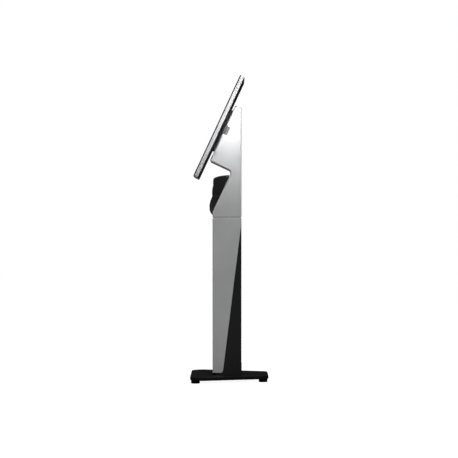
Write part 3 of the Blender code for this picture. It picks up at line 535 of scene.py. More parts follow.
class Maker:
    """Mesh tools: outlines, extrusions with rounded edges, turned bodies, cuts.

    Attributes:
        margin: Width of the flat strip beside a rounded rim, which keeps the flat faces evenly shaded.
    """

    margin: float = 0.0003

    @staticmethod
    def rounded(corners: Sequence[Corner], steps: int = 10) -> list[Point]:
        """Turn (a, b, radius) corners into an outline with arcs.

        Args:
            corners: Corners in order round the outline.
            steps: Straight pieces in each arc.

        Returns:
            The outline's points.
        """
        points: list[Point] = []
        for index, (a, b, radius) in enumerate(corners):
            here = Vector((a, b))
            if radius <= 0.0:
                points.append((a, b))
                continue
            before = (Vector(corners[index - 1][:2]) - here).normalized()
            after = (Vector(corners[(index + 1) % len(corners)][:2]) - here).normalized()
            half = before.angle(after) / 2.0
            centre = here + (before + after).normalized() * radius / math.sin(half)
            start = here + before * radius / math.tan(half) - centre
            end = here + after * radius / math.tan(half) - centre
            turn = start.angle_signed(end)
            for step in range(steps + 1):
                spoke = start.copy()
                spoke.rotate(Matrix.Rotation(-turn * step / steps, 2))
                points.append(tuple(centre + spoke))
        return points

    @classmethod
    def panel(cls, half: float, low: float, high: float, radius: float, steps: int) -> list[Point]:
        """Give the outline of a panel centred on the first axis, with four alike round corners.

        Args:
            half: Half its width.
            low: Start along the second axis.
            high: End along the second axis.
            radius: Radius of the corners.
            steps: Straight pieces in each arc.

        Returns:
            The outline's points.
        """
        corners = [(-half, low, radius), (half, low, radius), (half, high, radius), (-half, high, radius)]
        return cls.rounded(corners, steps)

    @staticmethod
    def area(outline: Sequence[Point]) -> float:
        """Give the signed area of an outline."""
        pairs = zip(outline, list(outline[1:]) + [outline[0]])
        return sum(a[0] * b[1] - b[0] * a[1] for a, b in pairs) / 2.0

    @classmethod
    def drawn_in(cls, outline: Sequence[Point], amount: float) -> list[Point]:
        """Move an outline inwards by an amount, keeping its corners.

        Args:
            outline: Points in order.
            amount: Distance, positive inwards.

        Returns:
            The moved points.
        """
        side = 1.0 if cls.area(outline) > 0.0 else -1.0
        count = len(outline)
        moved = []
        for index in range(count):
            here = Vector(outline[index])
            into = (here - Vector(outline[index - 1])).normalized()
            out = (Vector(outline[(index + 1) % count]) - here).normalized()
            first = Vector((-into.y, into.x)) * side
            second = Vector((-out.y, out.x)) * side
            moved.append(tuple(here + (first + second) / (1.0 + first.dot(second)) * amount))
        return moved

    @staticmethod
    def place(axis: Axis, a: float, b: float, c: float) -> Place:
        """Put an outline's point and its height on the axes that it is extruded along.

        Args:
            axis: Direction of the extrusion.
            a: First number of the point.
            b: Second number of the point.
            c: Height along the axis.

        Returns:
            The point as (x, y, z).
        """
        if axis is Axis.X:
            return (c, a, b)
        if axis is Axis.Y:
            return (a, c, b)
        return (a, b, c)

    @classmethod
    def slab(
        cls, outline: Sequence[Point], low: float, high: float, axis: Axis, round_low: float = 0.0,
        round_high: float = 0.0, steps: int = 5
    ) -> bmesh.types.BMesh:
        """Extrude an outline with rounded rims.

        Args:
            outline: Points in order.
            low: Start along the axis.
            high: End along the axis.
            axis: Direction of the extrusion.
            round_low: Radius of the rim at the low end.
            round_high: Radius of the rim at the high end.
            steps: Straight pieces in each rim.

        Returns:
            A closed mesh.
        """
        levels = []
        for end, radius, way in ((low, round_low, 1.0), (high, round_high, -1.0)):
            arc = [(end, 0.0)]
            if radius > 0.0:
                angles = [math.pi / 2 * step / steps for step in range(steps + 1)]
                bend = [(radius * (1.0 - math.cos(a)), radius * (1.0 - math.sin(a))) for a in angles]
                arc = [(end + way * rise, inset) for rise, inset in bend]
                arc = [(end, radius + cls.margin), *arc, (end + way * (radius + cls.margin), 0.0)]
            levels += arc if way > 0.0 else reversed(arc)
        bm = bmesh.new()
        rings = []
        for height, inset in levels:
            ring = cls.drawn_in(outline, inset) if inset > 0.0 else outline
            rings.append([bm.verts.new(cls.place(axis, a, b, height)) for a, b in ring])
        count = len(outline)
        for lower, upper in zip(rings, rings[1:]):
            for index in range(count):
                following = (index + 1) % count
                bm.faces.new((lower[index], lower[following], upper[following], upper[index]))
        bm.faces.new(rings[0])
        bm.faces.new(rings[-1])
        cls.outward(bm)
        return bm

    @staticmethod
    def outward(bm: bmesh.types.BMesh) -> None:
        """Point the faces of a closed mesh outwards.

        Args:
            bm: The closed mesh.
        """
        bmesh.ops.recalc_face_normals(bm, faces=bm.faces)
        if bm.calc_volume(signed=True) < 0.0:
            bmesh.ops.reverse_faces(bm, faces=bm.faces)

    @classmethod
    def block(cls, x: Point, y: Point, z: Point, rim: float = 0.0) -> bmesh.types.BMesh:
        """Make a box from three (low, high) pairs, with its vertical edges and rims softened by rim.

        Args:
            x: Extent across.
            y: Extent in depth.
            z: Extent in height.
            rim: Radius of the soft edges.

        Returns:
            A closed mesh.
        """
        corners = [(x[0], y[0], rim), (x[1], y[0], rim), (x[1], y[1], rim), (x[0], y[1], rim)]
        outline = cls.rounded(corners, 4) if rim > 0.0 else [corner[:2] for corner in corners]
        return cls.slab(outline, z[0], z[1], Axis.Z, rim * 0.7, rim * 0.7, 3)

    @classmethod
    def turned(
        cls, profile: Sequence[Point], centre: Sequence[float], axis: Axis = Axis.Z, steps: int = 48
    ) -> bmesh.types.BMesh:
        """Spin a (radius, height) profile about an axis through centre.

        Args:
            profile: Points from one end to the other. A profile that stays off the axis is closed.
            centre: A point of the axis.
            axis: Direction of the axis.
            steps: Sides of the round.

        Returns:
            A closed mesh.
        """
        bm = bmesh.new()
        hollow = min(radius for radius, _ in profile) > 1e-6
        ring = [bm.verts.new((radius, 0.0, height)) for radius, height in profile]
        edges = [bm.edges.new(pair) for pair in zip(ring, ring[1:])]
        if hollow:
            edges.append(bm.edges.new((ring[-1], ring[0])))
        bmesh.ops.spin(bm, geom=ring + edges, axis=(0, 0, 1), cent=(0, 0, 0), steps=steps, angle=math.tau)
        bmesh.ops.remove_doubles(bm, verts=bm.verts, dist=0.000005)
        turn = {
            Axis.X: Matrix.Rotation(math.pi / 2, 4, "Y"),
            Axis.Y: Matrix.Rotation(-math.pi / 2, 4, "X"),
            Axis.Z: Matrix.Identity(4),
        }[axis]
        bm.transform(Matrix.Translation(Vector(centre)) @ turn)
        cls.outward(bm)
        return bm

    @classmethod
    def rod(cls, radius: float, low: float, high: float, centre: Sequence[float], axis: Axis = Axis.Z,
            steps: int = 32) -> bmesh.types.BMesh:
        """Make a round cutter or bar from low to high along an axis through centre."""
        return cls.turned([(0.0, low), (radius, low), (radius, high), (0.0, high)], centre, axis, steps)

    @staticmethod
    def gather(parts: Iterable[bmesh.types.BMesh]) -> bmesh.types.BMesh:
        """Put several closed meshes side by side in one.

        Args:
            parts: Meshes, which are freed.

        Returns:
            One mesh that holds them all.
        """
        whole = bmesh.new()
        for part in parts:
            mesh = bpy.data.meshes.new("gathered")
            part.to_mesh(mesh)
            part.free()
            whole.from_mesh(mesh)
            bpy.data.meshes.remove(mesh)
        return whole

    @staticmethod
    def object(name: str, bm: bmesh.types.BMesh) -> bpy.types.Object:
        """Turn a mesh into a scene object and free it.

        Args:
            name: Name of the object.
            bm: The mesh, which is freed.

        Returns:
            The object.
        """
        mesh = bpy.data.meshes.new(name)
        bm.to_mesh(mesh)
        bm.free()
        item = bpy.data.objects.new(name, mesh)
        bpy.context.scene.collection.objects.link(item)
        return item

    @classmethod
    def carve(cls, item: bpy.types.Object, tools: Sequence[bmesh.types.BMesh], weld: bool = False) -> None:
        """Cut tools out of a piece, or weld them on, and keep the result as its mesh.

        Args:
            item: The piece.
            tools: Closed meshes, which are freed.
            weld: Join the tools instead of cutting them.
        """
        helpers = []
        for tool in tools:
            helper = cls.object(f"{item.name}_tool", tool)
            modifier = item.modifiers.new("tool", "BOOLEAN")
            modifier.operation = "UNION" if weld else "DIFFERENCE"
            modifier.solver = "EXACT"
            modifier.object = helper
            helpers.append(helper)
        cls.bake(item)
        for helper in helpers:
            bpy.data.objects.remove(helper, do_unlink=True)

    @staticmethod
    def bake(item: bpy.types.Object) -> None:
        """Make a piece's modifiers part of its mesh.

        Args:
            item: The piece.
        """
        bpy.context.view_layer.update()
        seen = item.evaluated_get(bpy.context.evaluated_depsgraph_get())
        mesh = bpy.data.meshes.new_from_object(seen)
        old = item.data
        item.modifiers.clear()
        item.data = mesh
        bpy.data.meshes.remove(old)

    @staticmethod
    def soften(item: bpy.types.Object, width: float, segments: int = 2, angle: float = 35.0) -> None:
        """Round a piece's sharp edges with a modifier and shade it smoothly.

        Args:
            item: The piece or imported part.
            width: Width of the rounding in metres.
            segments: Straight pieces in it.
            angle: Edges sharper than this are rounded, in degrees.
        """
        packed = bool(item.get("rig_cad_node"))
        if packed:
            weld = item.modifiers.new("joined_corners", "WELD")
            weld.merge_threshold = 0.00001
        item.data.shade_smooth()
        if width > 0.0:
            bevel = item.modifiers.new("soft_edges", "BEVEL")
            bevel.width = width
            bevel.segments = segments
            bevel.limit_method = "ANGLE"
            bevel.angle_limit = math.radians(angle)
            bevel.use_clamp_overlap = True
            bevel.harden_normals = True
            return
        if not packed:
            item.data.set_sharp_from_angle(angle=math.radians(angle))
        normals = item.modifiers.new("even_shading", "WEIGHTED_NORMAL")
        normals.keep_sharp = True
        normals.weight = 60


class Workshop:
    """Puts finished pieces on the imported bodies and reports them."""

    @staticmethod
    def fit(
        item: bpy.types.Object, finish: Finish | bpy.types.Material, body: str, slot: str, *nodes: str
    ) -> bpy.types.Object:
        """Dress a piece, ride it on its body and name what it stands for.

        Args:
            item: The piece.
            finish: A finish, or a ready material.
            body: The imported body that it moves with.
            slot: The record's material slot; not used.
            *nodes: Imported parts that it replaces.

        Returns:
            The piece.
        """
        material = Dresser.material(finish) if isinstance(finish, Finish) else finish
        Dresser.paint(item, material)
        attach(item, body)
        if nodes:
            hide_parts(*nodes)
        LOG.info("%s rides on %s%s", item.name, body, f" and replaces {', '.join(nodes)}" if nodes else "")
        return item

    @staticmethod
    def middle(node: str) -> Place:
        """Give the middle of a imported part's box.

        Args:
            node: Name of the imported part.

        Returns:
            The middle as (x, y, z).
        """
        low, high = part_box(node)
        return ((low[0] + high[0]) / 2, (low[1] + high[1]) / 2, (low[2] + high[2]) / 2)

    @classmethod
    def axle(cls, node: str) -> Place:
        """Give the point where an axle along x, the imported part, crosses the kiosk's middle plane.

        Args:
            node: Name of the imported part.

        Returns:
            The point as (x, y, z).
        """
        _, y, z = cls.middle(node)
        return (0.0, y, z)

    @staticmethod
    def keep(node: str, finish: Finish | bpy.types.Material, width: float = 0.0003) -> bpy.types.Object:
        """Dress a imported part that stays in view, with softened edges.

        Args:
            node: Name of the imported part.
            finish: A finish, or a ready material.
            width: Width of the softened edges.

        Returns:
            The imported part.
        """
        item = frame["nodes"][node]
        material = Dresser.material(finish) if isinstance(finish, Finish) else finish
        Dresser.paint(item, material)
        Maker.soften(item, width)
        LOG.info("%s is kept in %s", node, material.name)
        return item


@dataclass
class Base:
    """Base plate and levelling feet."""

    front: float = 0.4298
    rear: float = 0.220
    depth: float = 0.364
    front_round: float = 0.055
    rear_round: float = 0.028
    rim: float = 0.0026
    foot_radius: float = 0.0205
    pad_round: float = 0.0022
    pad_top: float = 0.0157
    stud_radius: float = 0.005
    feet: tuple[str, ...] = ("foot_front_left", "foot_front_right", "foot_rear_left", "foot_rear_right")

    def plate(self) -> bpy.types.Object:
        """Make the plate with its stud holes.

        Returns:
            The plate.
        """
        low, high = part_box("base_plate")
        half = self.depth / 2
        outline = Maker.rounded([
            (self.front / 2, -half, self.front_round),
            (self.rear / 2, half, self.rear_round),
            (-self.rear / 2, half, self.rear_round),
            (-self.front / 2, -half, self.front_round),
        ], 20)
        bm = Maker.slab(outline, low[2], high[2], Axis.Z, self.rim, self.rim, 6)
        item = Maker.object("base_plate_coated", bm)
        holes = []
        for name in self.feet:
            x, y, _ = Workshop.middle(name)
            holes.append(Maker.rod(self.stud_radius + GAP, 0.0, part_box(name)[1][2] + GAP, (x, y, 0.0)))
        Maker.carve(item, holes)
        Maker.soften(item, 0.0)
        return Workshop.fit(item, BASE_COAT, "root", "base_steel", "base_plate")

    def foot(self, name: str) -> bpy.types.Object:
        """Make one foot: a pad with a soft rim, a moulded groove and its stud.

        Args:
            name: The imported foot.

        Returns:
            The foot.
        """
        x, y, _ = Workshop.middle(name)
        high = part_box(name)[1]
        r = self.foot_radius
        top = self.pad_top
        profile: list[Point] = [(0.0, 0.0), (r - 0.0030, 0.0)]
        for step in range(7):
            angle = math.pi / 2 * step / 6
            reach = self.pad_round * math.sin(angle)
            profile.append((r - self.pad_round + reach, self.pad_round - self.pad_round * math.cos(angle)))
        profile += [(r, 0.0088), (r - 0.0007, 0.0091), (r - 0.0007, 0.0098), (r, 0.0101), (r, top - 0.0020)]
        profile += [(r - 0.0006, top - 0.0006), (r - 0.0020, top), (0.0085, top), (0.0080, top)]
        stud = self.stud_radius
        profile.append((stud, top))
        turns = 9
        pitch = (high[2] - 0.0008 - top) / turns
        for turn in range(turns):
            z = top + pitch * turn
            profile += [(stud, z + pitch * 0.1), (stud - 0.0005, z + pitch * 0.55)]
        profile += [(stud, high[2] - 0.0006), (stud - 0.0005, high[2]), (0.0, high[2])]
        item = Maker.object(f"{name}_pad", Maker.turned(profile, (x, y, 0.0), Axis.Z, 64))
        Maker.soften(item, 0.0)
        return Workshop.fit(item, RUBBER, f"{name}_body", "foot_rubber", name)

    def build(self) -> None:
        """Make the plate and the feet."""
        self.plate()
        for name in self.feet:
            self.foot(name)
        Workshop.keep("column_flange", FRAME_COAT)
        for number in range(1, 5):
            Workshop.keep(f"flange_bolt_{number}", ZINC)


@dataclass
class Column:
    """Silver cover, black core, cap, door and what they hold."""

    half: float = 0.075
    front: float = -0.079
    rear: float = 0.0562
    sheet: float = 0.002
    seam_round: float = 0.014
    open_half: float = 0.065
    inlet_half: float = 0.0223
    seam_low: Point = (-0.0309, 0.041)
    seam_high: Point = (0.0550, 0.7375)
    bend: float = 0.005

    def cover(self) -> bpy.types.Object:
        """Make the silver cover: one sheet bent round the front, with leaning rear edges.

        Returns:
            The cover.
        """
        low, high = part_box("column_cover")
        plan = Maker.rounded([
            (self.half, high[1] + 0.02, 0.0),
            (self.half, low[1], self.bend),
            (-self.half, low[1], self.bend),
            (-self.half, high[1] + 0.02, 0.0),
            (-self.half + self.sheet, high[1] + 0.02, 0.0),
            (-self.half + self.sheet, low[1] + self.sheet, self.bend - self.sheet),
            (self.half - self.sheet, low[1] + self.sheet, self.bend - self.sheet),
            (self.half - self.sheet, high[1] + 0.02, 0.0),
        ], 8)
        item = Maker.object("column_cover_sheet", Maker.slab(plan, low[2], high[2], Axis.Z))
        Maker.carve(item, [Maker.slab(self.beyond_seam(low[2], high[2]), -0.2, 0.2, Axis.X)])
        Maker.soften(item, 0.0007, 2)
        return Workshop.fit(item, SILVER, "root", "silver_sheet", "column_cover")

    def beyond_seam(self, low: float, high: float) -> list[Point]:
        """Give the outline of what the leaning rear edge cuts away.

        Args:
            low: Bottom of the cover.
            high: Top of the cover.

        Returns:
            The outline as (y, z) points, with the round lower corner.
        """
        corner = Vector(self.seam_low)
        along = (Vector(self.seam_high) - corner).normalized()
        forward = Vector((-1.0, 0.0))
        radius = self.seam_round
        half = forward.angle(along) / 2.0
        centre = corner + (forward + along).normalized() * radius / math.sin(half)
        start = corner + forward * radius / math.tan(half) - centre
        end = corner + along * radius / math.tan(half) - centre
        turn = start.angle_signed(end)
        arc = []
        for step in range(13):
            spoke = start.copy()
            spoke.rotate(Matrix.Rotation(-turn * step / 12, 2))
            arc.append(tuple(centre + spoke))
        tail = [
            self.seam_high,
            (self.seam_high[0], high + 0.05),
            (self.seam_high[0] + 0.2, high + 0.05),
            (self.seam_high[0] + 0.2, low - 0.05),
            (arc[0][0], low - 0.05),
        ]
        return arc + tail

    def core(self) -> bpy.types.Object:
        """Make the black core: a folded sheet with the door's opening in its rear face.

        Returns:
            The core.
        """
        low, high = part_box("column_core")
        door_low, door_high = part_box("rear_door")
        inlet_low, inlet_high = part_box("mains_inlet")
        rear_face = (0.03, 0.08)
        door_z = (door_low[2] - 2 * GAP, door_high[2] + 2 * GAP)
        inlet_z = (inlet_low[2] + 0.0037, inlet_high[2] - 0.0037)
        outer = high[0]
        inner = outer - self.sheet
        plan = Maker.rounded([
            (outer, low[1], 0.0),
            (outer, high[1], 0.0032),
            (-outer, high[1], 0.0032),
            (-outer, low[1], 0.0),
            (-inner, low[1], 0.0),
            (-inner, high[1] - self.sheet, 0.0012),
            (inner, high[1] - self.sheet, 0.0012),
            (inner, low[1], 0.0),
        ], 8)
        item = Maker.object("column_core_sheet", Maker.slab(plan, low[2], high[2], Axis.Z))
        Maker.carve(item, [
            Maker.block((-self.open_half, self.open_half), rear_face, door_z, 0.0),
            Maker.block((-self.inlet_half, self.inlet_half), rear_face, inlet_z, 0.0),
        ])
        Maker.soften(item, 0.0004, 2)
        return Workshop.fit(item, BLACK_SHEET, "root", "black_sheet", "column_core")

    def cap(self) -> bpy.types.Object:
        """Make the cap between column and head, with a rounded rim that catches the light.

        Returns:
            The cap.
        """
        low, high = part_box("column_cap")
        outline = Maker.rounded([
            (self.half, low[1], 0.005),
            (self.half, high[1], 0.005),
            (-self.half, high[1], 0.005),
            (-self.half, low[1], 0.005),
        ], 8)
        bm = Maker.slab(outline, low[2], high[2], Axis.Z, 0.0004, 0.0016, 5)
        item = Maker.object("column_cap_plate", bm)
        post_low, post_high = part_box("column_post")
        slot_x = (post_low[0] - 0.001, post_high[0] + 0.001)
        slot_y = (post_low[1] - 0.001, post_high[1] + 0.001)
        Maker.carve(item, [Maker.block(slot_x, slot_y, (low[2] - THROUGH, high[2] + THROUGH))])
        Maker.soften(item, 0.0)
        return Workshop.fit(item, SILVER, "root", "silver_sheet", "column_cap")

    def build(self) -> None:
        """Make the column's shells and dress the parts inside."""
        self.cover()
        self.core()
        self.cap()
        Workshop.keep("column_post", FRAME_COAT)
        Workshop.keep("rear_door", BLACK_SHEET, 0.0004)
        for node in ("door_pin_lower", "door_pin_upper", "door_lock_sleeve", "door_lock_cam"):
            Workshop.keep(node, ZINC, 0.0002)
        for node in ("power_strip", "power_brick", "mains_inlet", "mains_switch"):
            Workshop.keep(node, SUPPLY_BLACK, 0.0004)


@dataclass
class Head:
    """Side plates, covers, the cable ports and the frame inside."""

    half: float = 0.075
    thick: float = 0.008
    low: float = 0.766
    front: float = -0.079
    rear: float = 0.0565
    rim: float = 0.0062
    front_depth: float = 0.0373
    arm_foot: float = 0.0976
    arm_top: float = 0.3839
    step_depth: float = 0.1506
    notch_depth: float = 0.0600
    notch: Point = (0.238, 0.279)

    @staticmethod
    def at(depth: float, along: float) -> Point:
        """Turn a depth behind the glass and a distance along it into world (y, z)."""
        point = Screen.to_world(Vector((0.0, depth, along)))
        return (point.y, point.z)

    def step_foot(self) -> float:
        """Give the height where the step's slope meets the head's front face."""
        y, z = self.at(self.step_depth, 0.0)
        return z + (self.front - y) / math.tan(SCREEN_TILT)

    def top_rear(self) -> float:
        """Give the height where the head's top edge meets its rear face."""
        y, z = self.at(0.0, self.arm_top)
        return z - (self.rear - y) * math.tan(SCREEN_TILT)

    def outline(self) -> list[Point]:
        """Give the side profile, without the cable port's notch.

        Returns:
            The outline as (y, z) points.
        """
        return Maker.rounded([
            (self.front, self.low, 0.0066),
            (self.rear, self.low, 0.0066),
            (self.rear, self.top_rear(), 0.0066),
            (*self.at(self.front_depth, self.arm_top), 0.0066),
            (*self.at(self.front_depth, self.arm_foot), 0.0066),
            (*self.at(self.step_depth, self.arm_foot), 0.016),
            (self.front, self.step_foot(), 0.0),
        ], 10)

    def across(self, depth: Point, along: Point) -> list[Point]:
        """Give a rectangle of the screen's own frame as world (y, z) points."""
        corners = [(depth[0], along[0]), (depth[1], along[0]), (depth[1], along[1]), (depth[0], along[1])]
        return [self.at(*corner) for corner in corners]

    def side(self, name: str, way: float) -> bpy.types.Object:
        """Make one side plate with a soft outer rim and its notch.

        Args:
            name: left or right.
            way: -1 for left, 1 for right.

        Returns:
            The plate.
        """
        inner, outer = self.half - self.thick, self.half
        if way > 0.0:
            bm = Maker.slab(self.outline(), inner, outer, Axis.X, 0.0004, self.rim, 8)
        else:
            bm = Maker.slab(self.outline(), -outer, -inner, Axis.X, self.rim, 0.0004, 8)
        item = Maker.object(f"head_side_{name}_shell", bm)
        Maker.carve(item, [Maker.slab(self.across((0.0, self.notch_depth), self.notch), -0.2, 0.2, Axis.X)])
        Maker.soften(item, 0.0)
        return Workshop.fit(item, SILVER, "root", "silver_sheet", f"head_side_{name}")

    def port(self, name: str, way: float) -> None:
        """Make one cable port: a framed insert with a recessed floor, ribs and a darker strip whose colour is
        painted shade along the notch's front.

        Args:
            name: left or right.
            way: -1 for left, 1 for right.
        """
        low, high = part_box(f"cable_port_{name}")
        inner, outer = sorted((abs(low[0]), abs(high[0])))
        floor = outer - 0.0018
        depth = (self.front_depth + 0.0003, self.notch_depth - 0.0004)
        along = (self.notch[0] + 0.0004, self.notch[1] - 0.0004)

        def between(near: float, far: float) -> tuple[float, float]:
            """Order a pair of distances from the middle on this side."""
            first, second = sorted((way * near, way * far))
            return first, second

        bm = Maker.slab(self.across(depth, along), *between(inner, outer), Axis.X)
        item = Maker.object(f"cable_port_{name}_frame", bm)
        recess = self.across((depth[0] + 0.0016, depth[1] - 0.0018), (along[0] + 0.0018, along[1] - 0.0018))
        Maker.carve(item, [Maker.slab(recess, *between(floor, outer + 0.01), Axis.X)])
        Maker.soften(item, 0.0004, 2)
        Workshop.fit(item, PORT_GREY, "root", "port_plastic", f"cable_port_{name}")
        # The strip's darker colour is painted shade: it stands for the shade along the front of the notch,
        # beside the plate's rim.
        strip = self.across((depth[0] + 0.0020, depth[0] + 0.0105), (along[0] + 0.0022, along[1] - 0.0022))
        bm = Maker.slab(strip, *between(floor + 0.00005, floor + 0.0009), Axis.X)
        painted_shade_strip = Maker.object(f"cable_port_{name}_blank", bm)
        slots = []
        for row in range(5):
            base = along[0] + 0.0065 + row * 0.0062
            span = self.across((depth[0] + 0.0035, depth[0] + 0.0090), (base, base + 0.0022))
            slots.append(Maker.slab(span, *between(floor + 0.0004, floor + 0.01), Axis.X))
        Maker.carve(painted_shade_strip, slots)
        Maker.soften(painted_shade_strip, 0.0002, 2)
        Workshop.fit(painted_shade_strip, PORT_PAINTED_SHADE, "root", "port_plastic")

    def build(self) -> None:
        """Make the side plates and dress what lies between them."""
        for name, way in (("left", -1.0), ("right", 1.0)):
            self.side(name, way)
            self.port(name, way)
            Workshop.keep(f"mount_gusset_{name}", FRAME_COAT)
        for node in ("head_rear_cover", "head_top_cap", "head_underside", "printer_shelf"):
            Workshop.keep(node, SILVER, 0.0003)
        Workshop.keep("mount_plate", FRAME_COAT)


@dataclass
class Screen:
    """The touchscreen, made upright in its own frame and leaned back into place."""

    foot: Point = (-0.1674, 0.9587)
    half: float = 0.152
    long: float = 0.5145
    corner: float = 0.010
    glass_thick: float = 0.003
    chassis: Point = (0.0053, 0.0214)
    cover: Point = (0.0217, 0.0235)
    block: Point = (0.0238, 0.0370)
    block_long: Point = (0.150, 0.357)
    block_half: float = 0.060
    screw_reach: float = 0.05
    display_half: float = 0.1345

    @classmethod
    def pose(cls) -> Matrix:
        """Give the matrix from the screen's own frame to the world."""
        return Matrix.Translation((0.0, *cls.foot)) @ Matrix.Rotation(-SCREEN_TILT, 4, "X")

    @classmethod
    def to_world(cls, point: Vector) -> Vector:
        """Move a point of the screen's own frame into the world."""
        return cls.pose() @ point

    def outline(self, inset: float = 0.0) -> list[Point]:
        """Give the screen's front outline.

        Args:
            inset: How far it is drawn in.

        Returns:
            The outline in the screen's own frame.
        """
        outline = Maker.panel(self.half, 0.0, self.long, self.corner, 12)
        return Maker.drawn_in(outline, inset) if inset > 0.0 else outline

    def lean(self, item: bpy.types.Object) -> bpy.types.Object:
        """Lean a piece back into the world by moving its mesh."""
        item.data.transform(self.pose())
        return item

    def glass(self) -> None:
        """Make the cover glass with a ground edge."""
        bm = Maker.slab(self.outline(), 0.0, self.glass_thick, Axis.Y, 0.0008, 0.0004, 4)
        item = Maker.object("cover_glass", bm)
        Maker.soften(self.lean(item), 0.0)
        Workshop.fit(item, Dresser.glass(), "root", "screen_glass", "screen_glass")
        item.data.materials.append(Dresser.material(GLASS_EDGE))
        front = Vector((0.0, -math.cos(SCREEN_TILT), math.sin(SCREEN_TILT)))
        for face in item.data.polygons:
            face.material_index = 0 if abs(face.normal.dot(front)) > 0.9 else 1

    def chassis_ring(self) -> None:
        """Make the silver ring round the display, with the button's bore in its lower side."""
        low, high = self.chassis
        bm = Maker.slab(self.outline(), low, high, Axis.Y, 0.0006, 0.0009, 4)
        item = Maker.object("screen_chassis_ring", bm)
        button = Screen.pose().inverted() @ Vector([(a + b) / 2 for a, b in zip(*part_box("screen_button"))])
        Maker.carve(item, [
            Maker.slab(self.outline(0.004), -THROUGH, THROUGH, Axis.Y),
            Maker.rod(0.0035, -0.01, 0.01, (button.x, button.y, 0.0)),
        ])
        Maker.soften(self.lean(item), 0.0)
        Workshop.fit(item, CHASSIS, "root", "silver_chassis", "screen_chassis")

    def rear_cover(self) -> None:
        """Make the rear cover: a flat lid with a soft rim, vent slots and countersunk screw wells."""
        low, high = self.cover
        bm = Maker.slab(self.outline(0.0015), low, high, Axis.Y, 0.0002, 0.0008, 5)
        item = Maker.object("screen_rear_lid", bm)
        tools = []
        for row in range(8):
            z = 0.3900 + row * 0.0080
            ends = Maker.panel(0.062, z, z + 0.0038, 0.0018, 5)
            tools.append(Maker.slab(ends, 0.0, THROUGH, Axis.Y))
        for x, z in self.wells():
            tools.append(Maker.rod(0.0042, high - 0.0006, high + 0.01, (x, 0.0, z), Axis.Y, 24))
        groove = Maker.panel(0.130, 0.030, 0.118, 0.006, 8)
        inner = Maker.drawn_in(groove, 0.0012)
        ring = Maker.slab(groove, high - 0.0005, high + 0.01, Axis.Y)
        island = Maker.object("groove_island", Maker.slab(inner, high - 0.01, high + 0.02, Axis.Y))
        frame_tool = Maker.object("groove_ring", ring)
        bm = bmesh.new()
        bm.from_mesh(island.data)
        Maker.carve(frame_tool, [bm])
        bm = bmesh.new()
        bm.from_mesh(frame_tool.data)
        tools.append(bm)
        for helper in (island, frame_tool):
            bpy.data.objects.remove(helper, do_unlink=True)
        Maker.carve(item, tools)
        Maker.soften(self.lean(item), 0.00025, 2)
        Workshop.fit(item, SCREEN_BLACK, "root", "screen_plastic", "screen_rear_cover")

    def wells(self) -> list[Point]:
        """Give the places of the rear cover's screws in the screen's own frame."""
        return [(x, z) for x in (-0.140, 0.140) for z in (0.014, self.long / 2, self.long - 0.014)]

    def screws(self) -> None:
        """Make the cross-head screws that hold the rear cover."""
        heads = []
        for x, z in self.wells():
            seat = self.cover[1] - 0.0007
            profile = [
                (0.0, seat - 0.001), (0.0033, seat - 0.001), (0.0033, seat + 0.0004), (0.0026, seat + 0.0009),
                (0.0, seat + 0.0011),
            ]
            head = Maker.object("screw", Maker.turned(profile, (x, 0.0, z), Axis.Y, 20))
            cross = [Maker.block((x - a, x + a), (seat + 0.0003, seat + 0.01), (z - b, z + b))
                     for a, b in ((0.0018, 0.0004), (0.0004, 0.0018))]
            Maker.carve(head, cross)
            bm = bmesh.new()
            bm.from_mesh(head.data)
            heads.append(bm)
            bpy.data.objects.remove(head, do_unlink=True)
        item = self.lean(Maker.object("rear_cover_screws", Maker.gather(heads)))
        Maker.soften(item, 0.0)
        Workshop.fit(item, ZINC, "root", "zinc_steel")

    def mount(self) -> None:
        """Make the mounting block with a soft rim and its four screw holes."""
        a, b = self.block_long
        outline = Maker.panel(self.block_half, a, b, 0.006, 10)
        item = Maker.object("mount_block_plate", Maker.slab(outline, *self.block, Axis.Y, 0.0004, 0.0008, 4))
        middle = (a + b) / 2
        reach = self.screw_reach
        holes = []
        for x in (-reach, reach):
            for z in (-reach, reach):
                holes.append(Maker.rod(0.0023, 0.0, THROUGH, (x, 0.0, middle + z), Axis.Y, 24))
        Maker.carve(item, holes)
        Maker.soften(self.lean(item), 0.0)
        Workshop.fit(item, BLOCK_GREY, "root", "screen_plastic", "mount_block")

    def build(self) -> None:
        """Make the screen's pieces and dress the ones inside."""
        self.glass()
        self.chassis_ring()
        self.rear_cover()
        self.screws()
        self.mount()
        Workshop.keep("screen_bezel", SCREEN_BLACK, 0.0)
        Workshop.keep("display_panel", DISPLAY)
        Workshop.keep("main_board", BOARD)
        for node in ("fan_frame", "fan_rotor", "screen_button"):
            Workshop.keep(node, SCREEN_BLACK, 0.0002)
        for number in range(1, 5):
            Workshop.keep(f"mount_screw_{number}", ZINC, 0.0002)


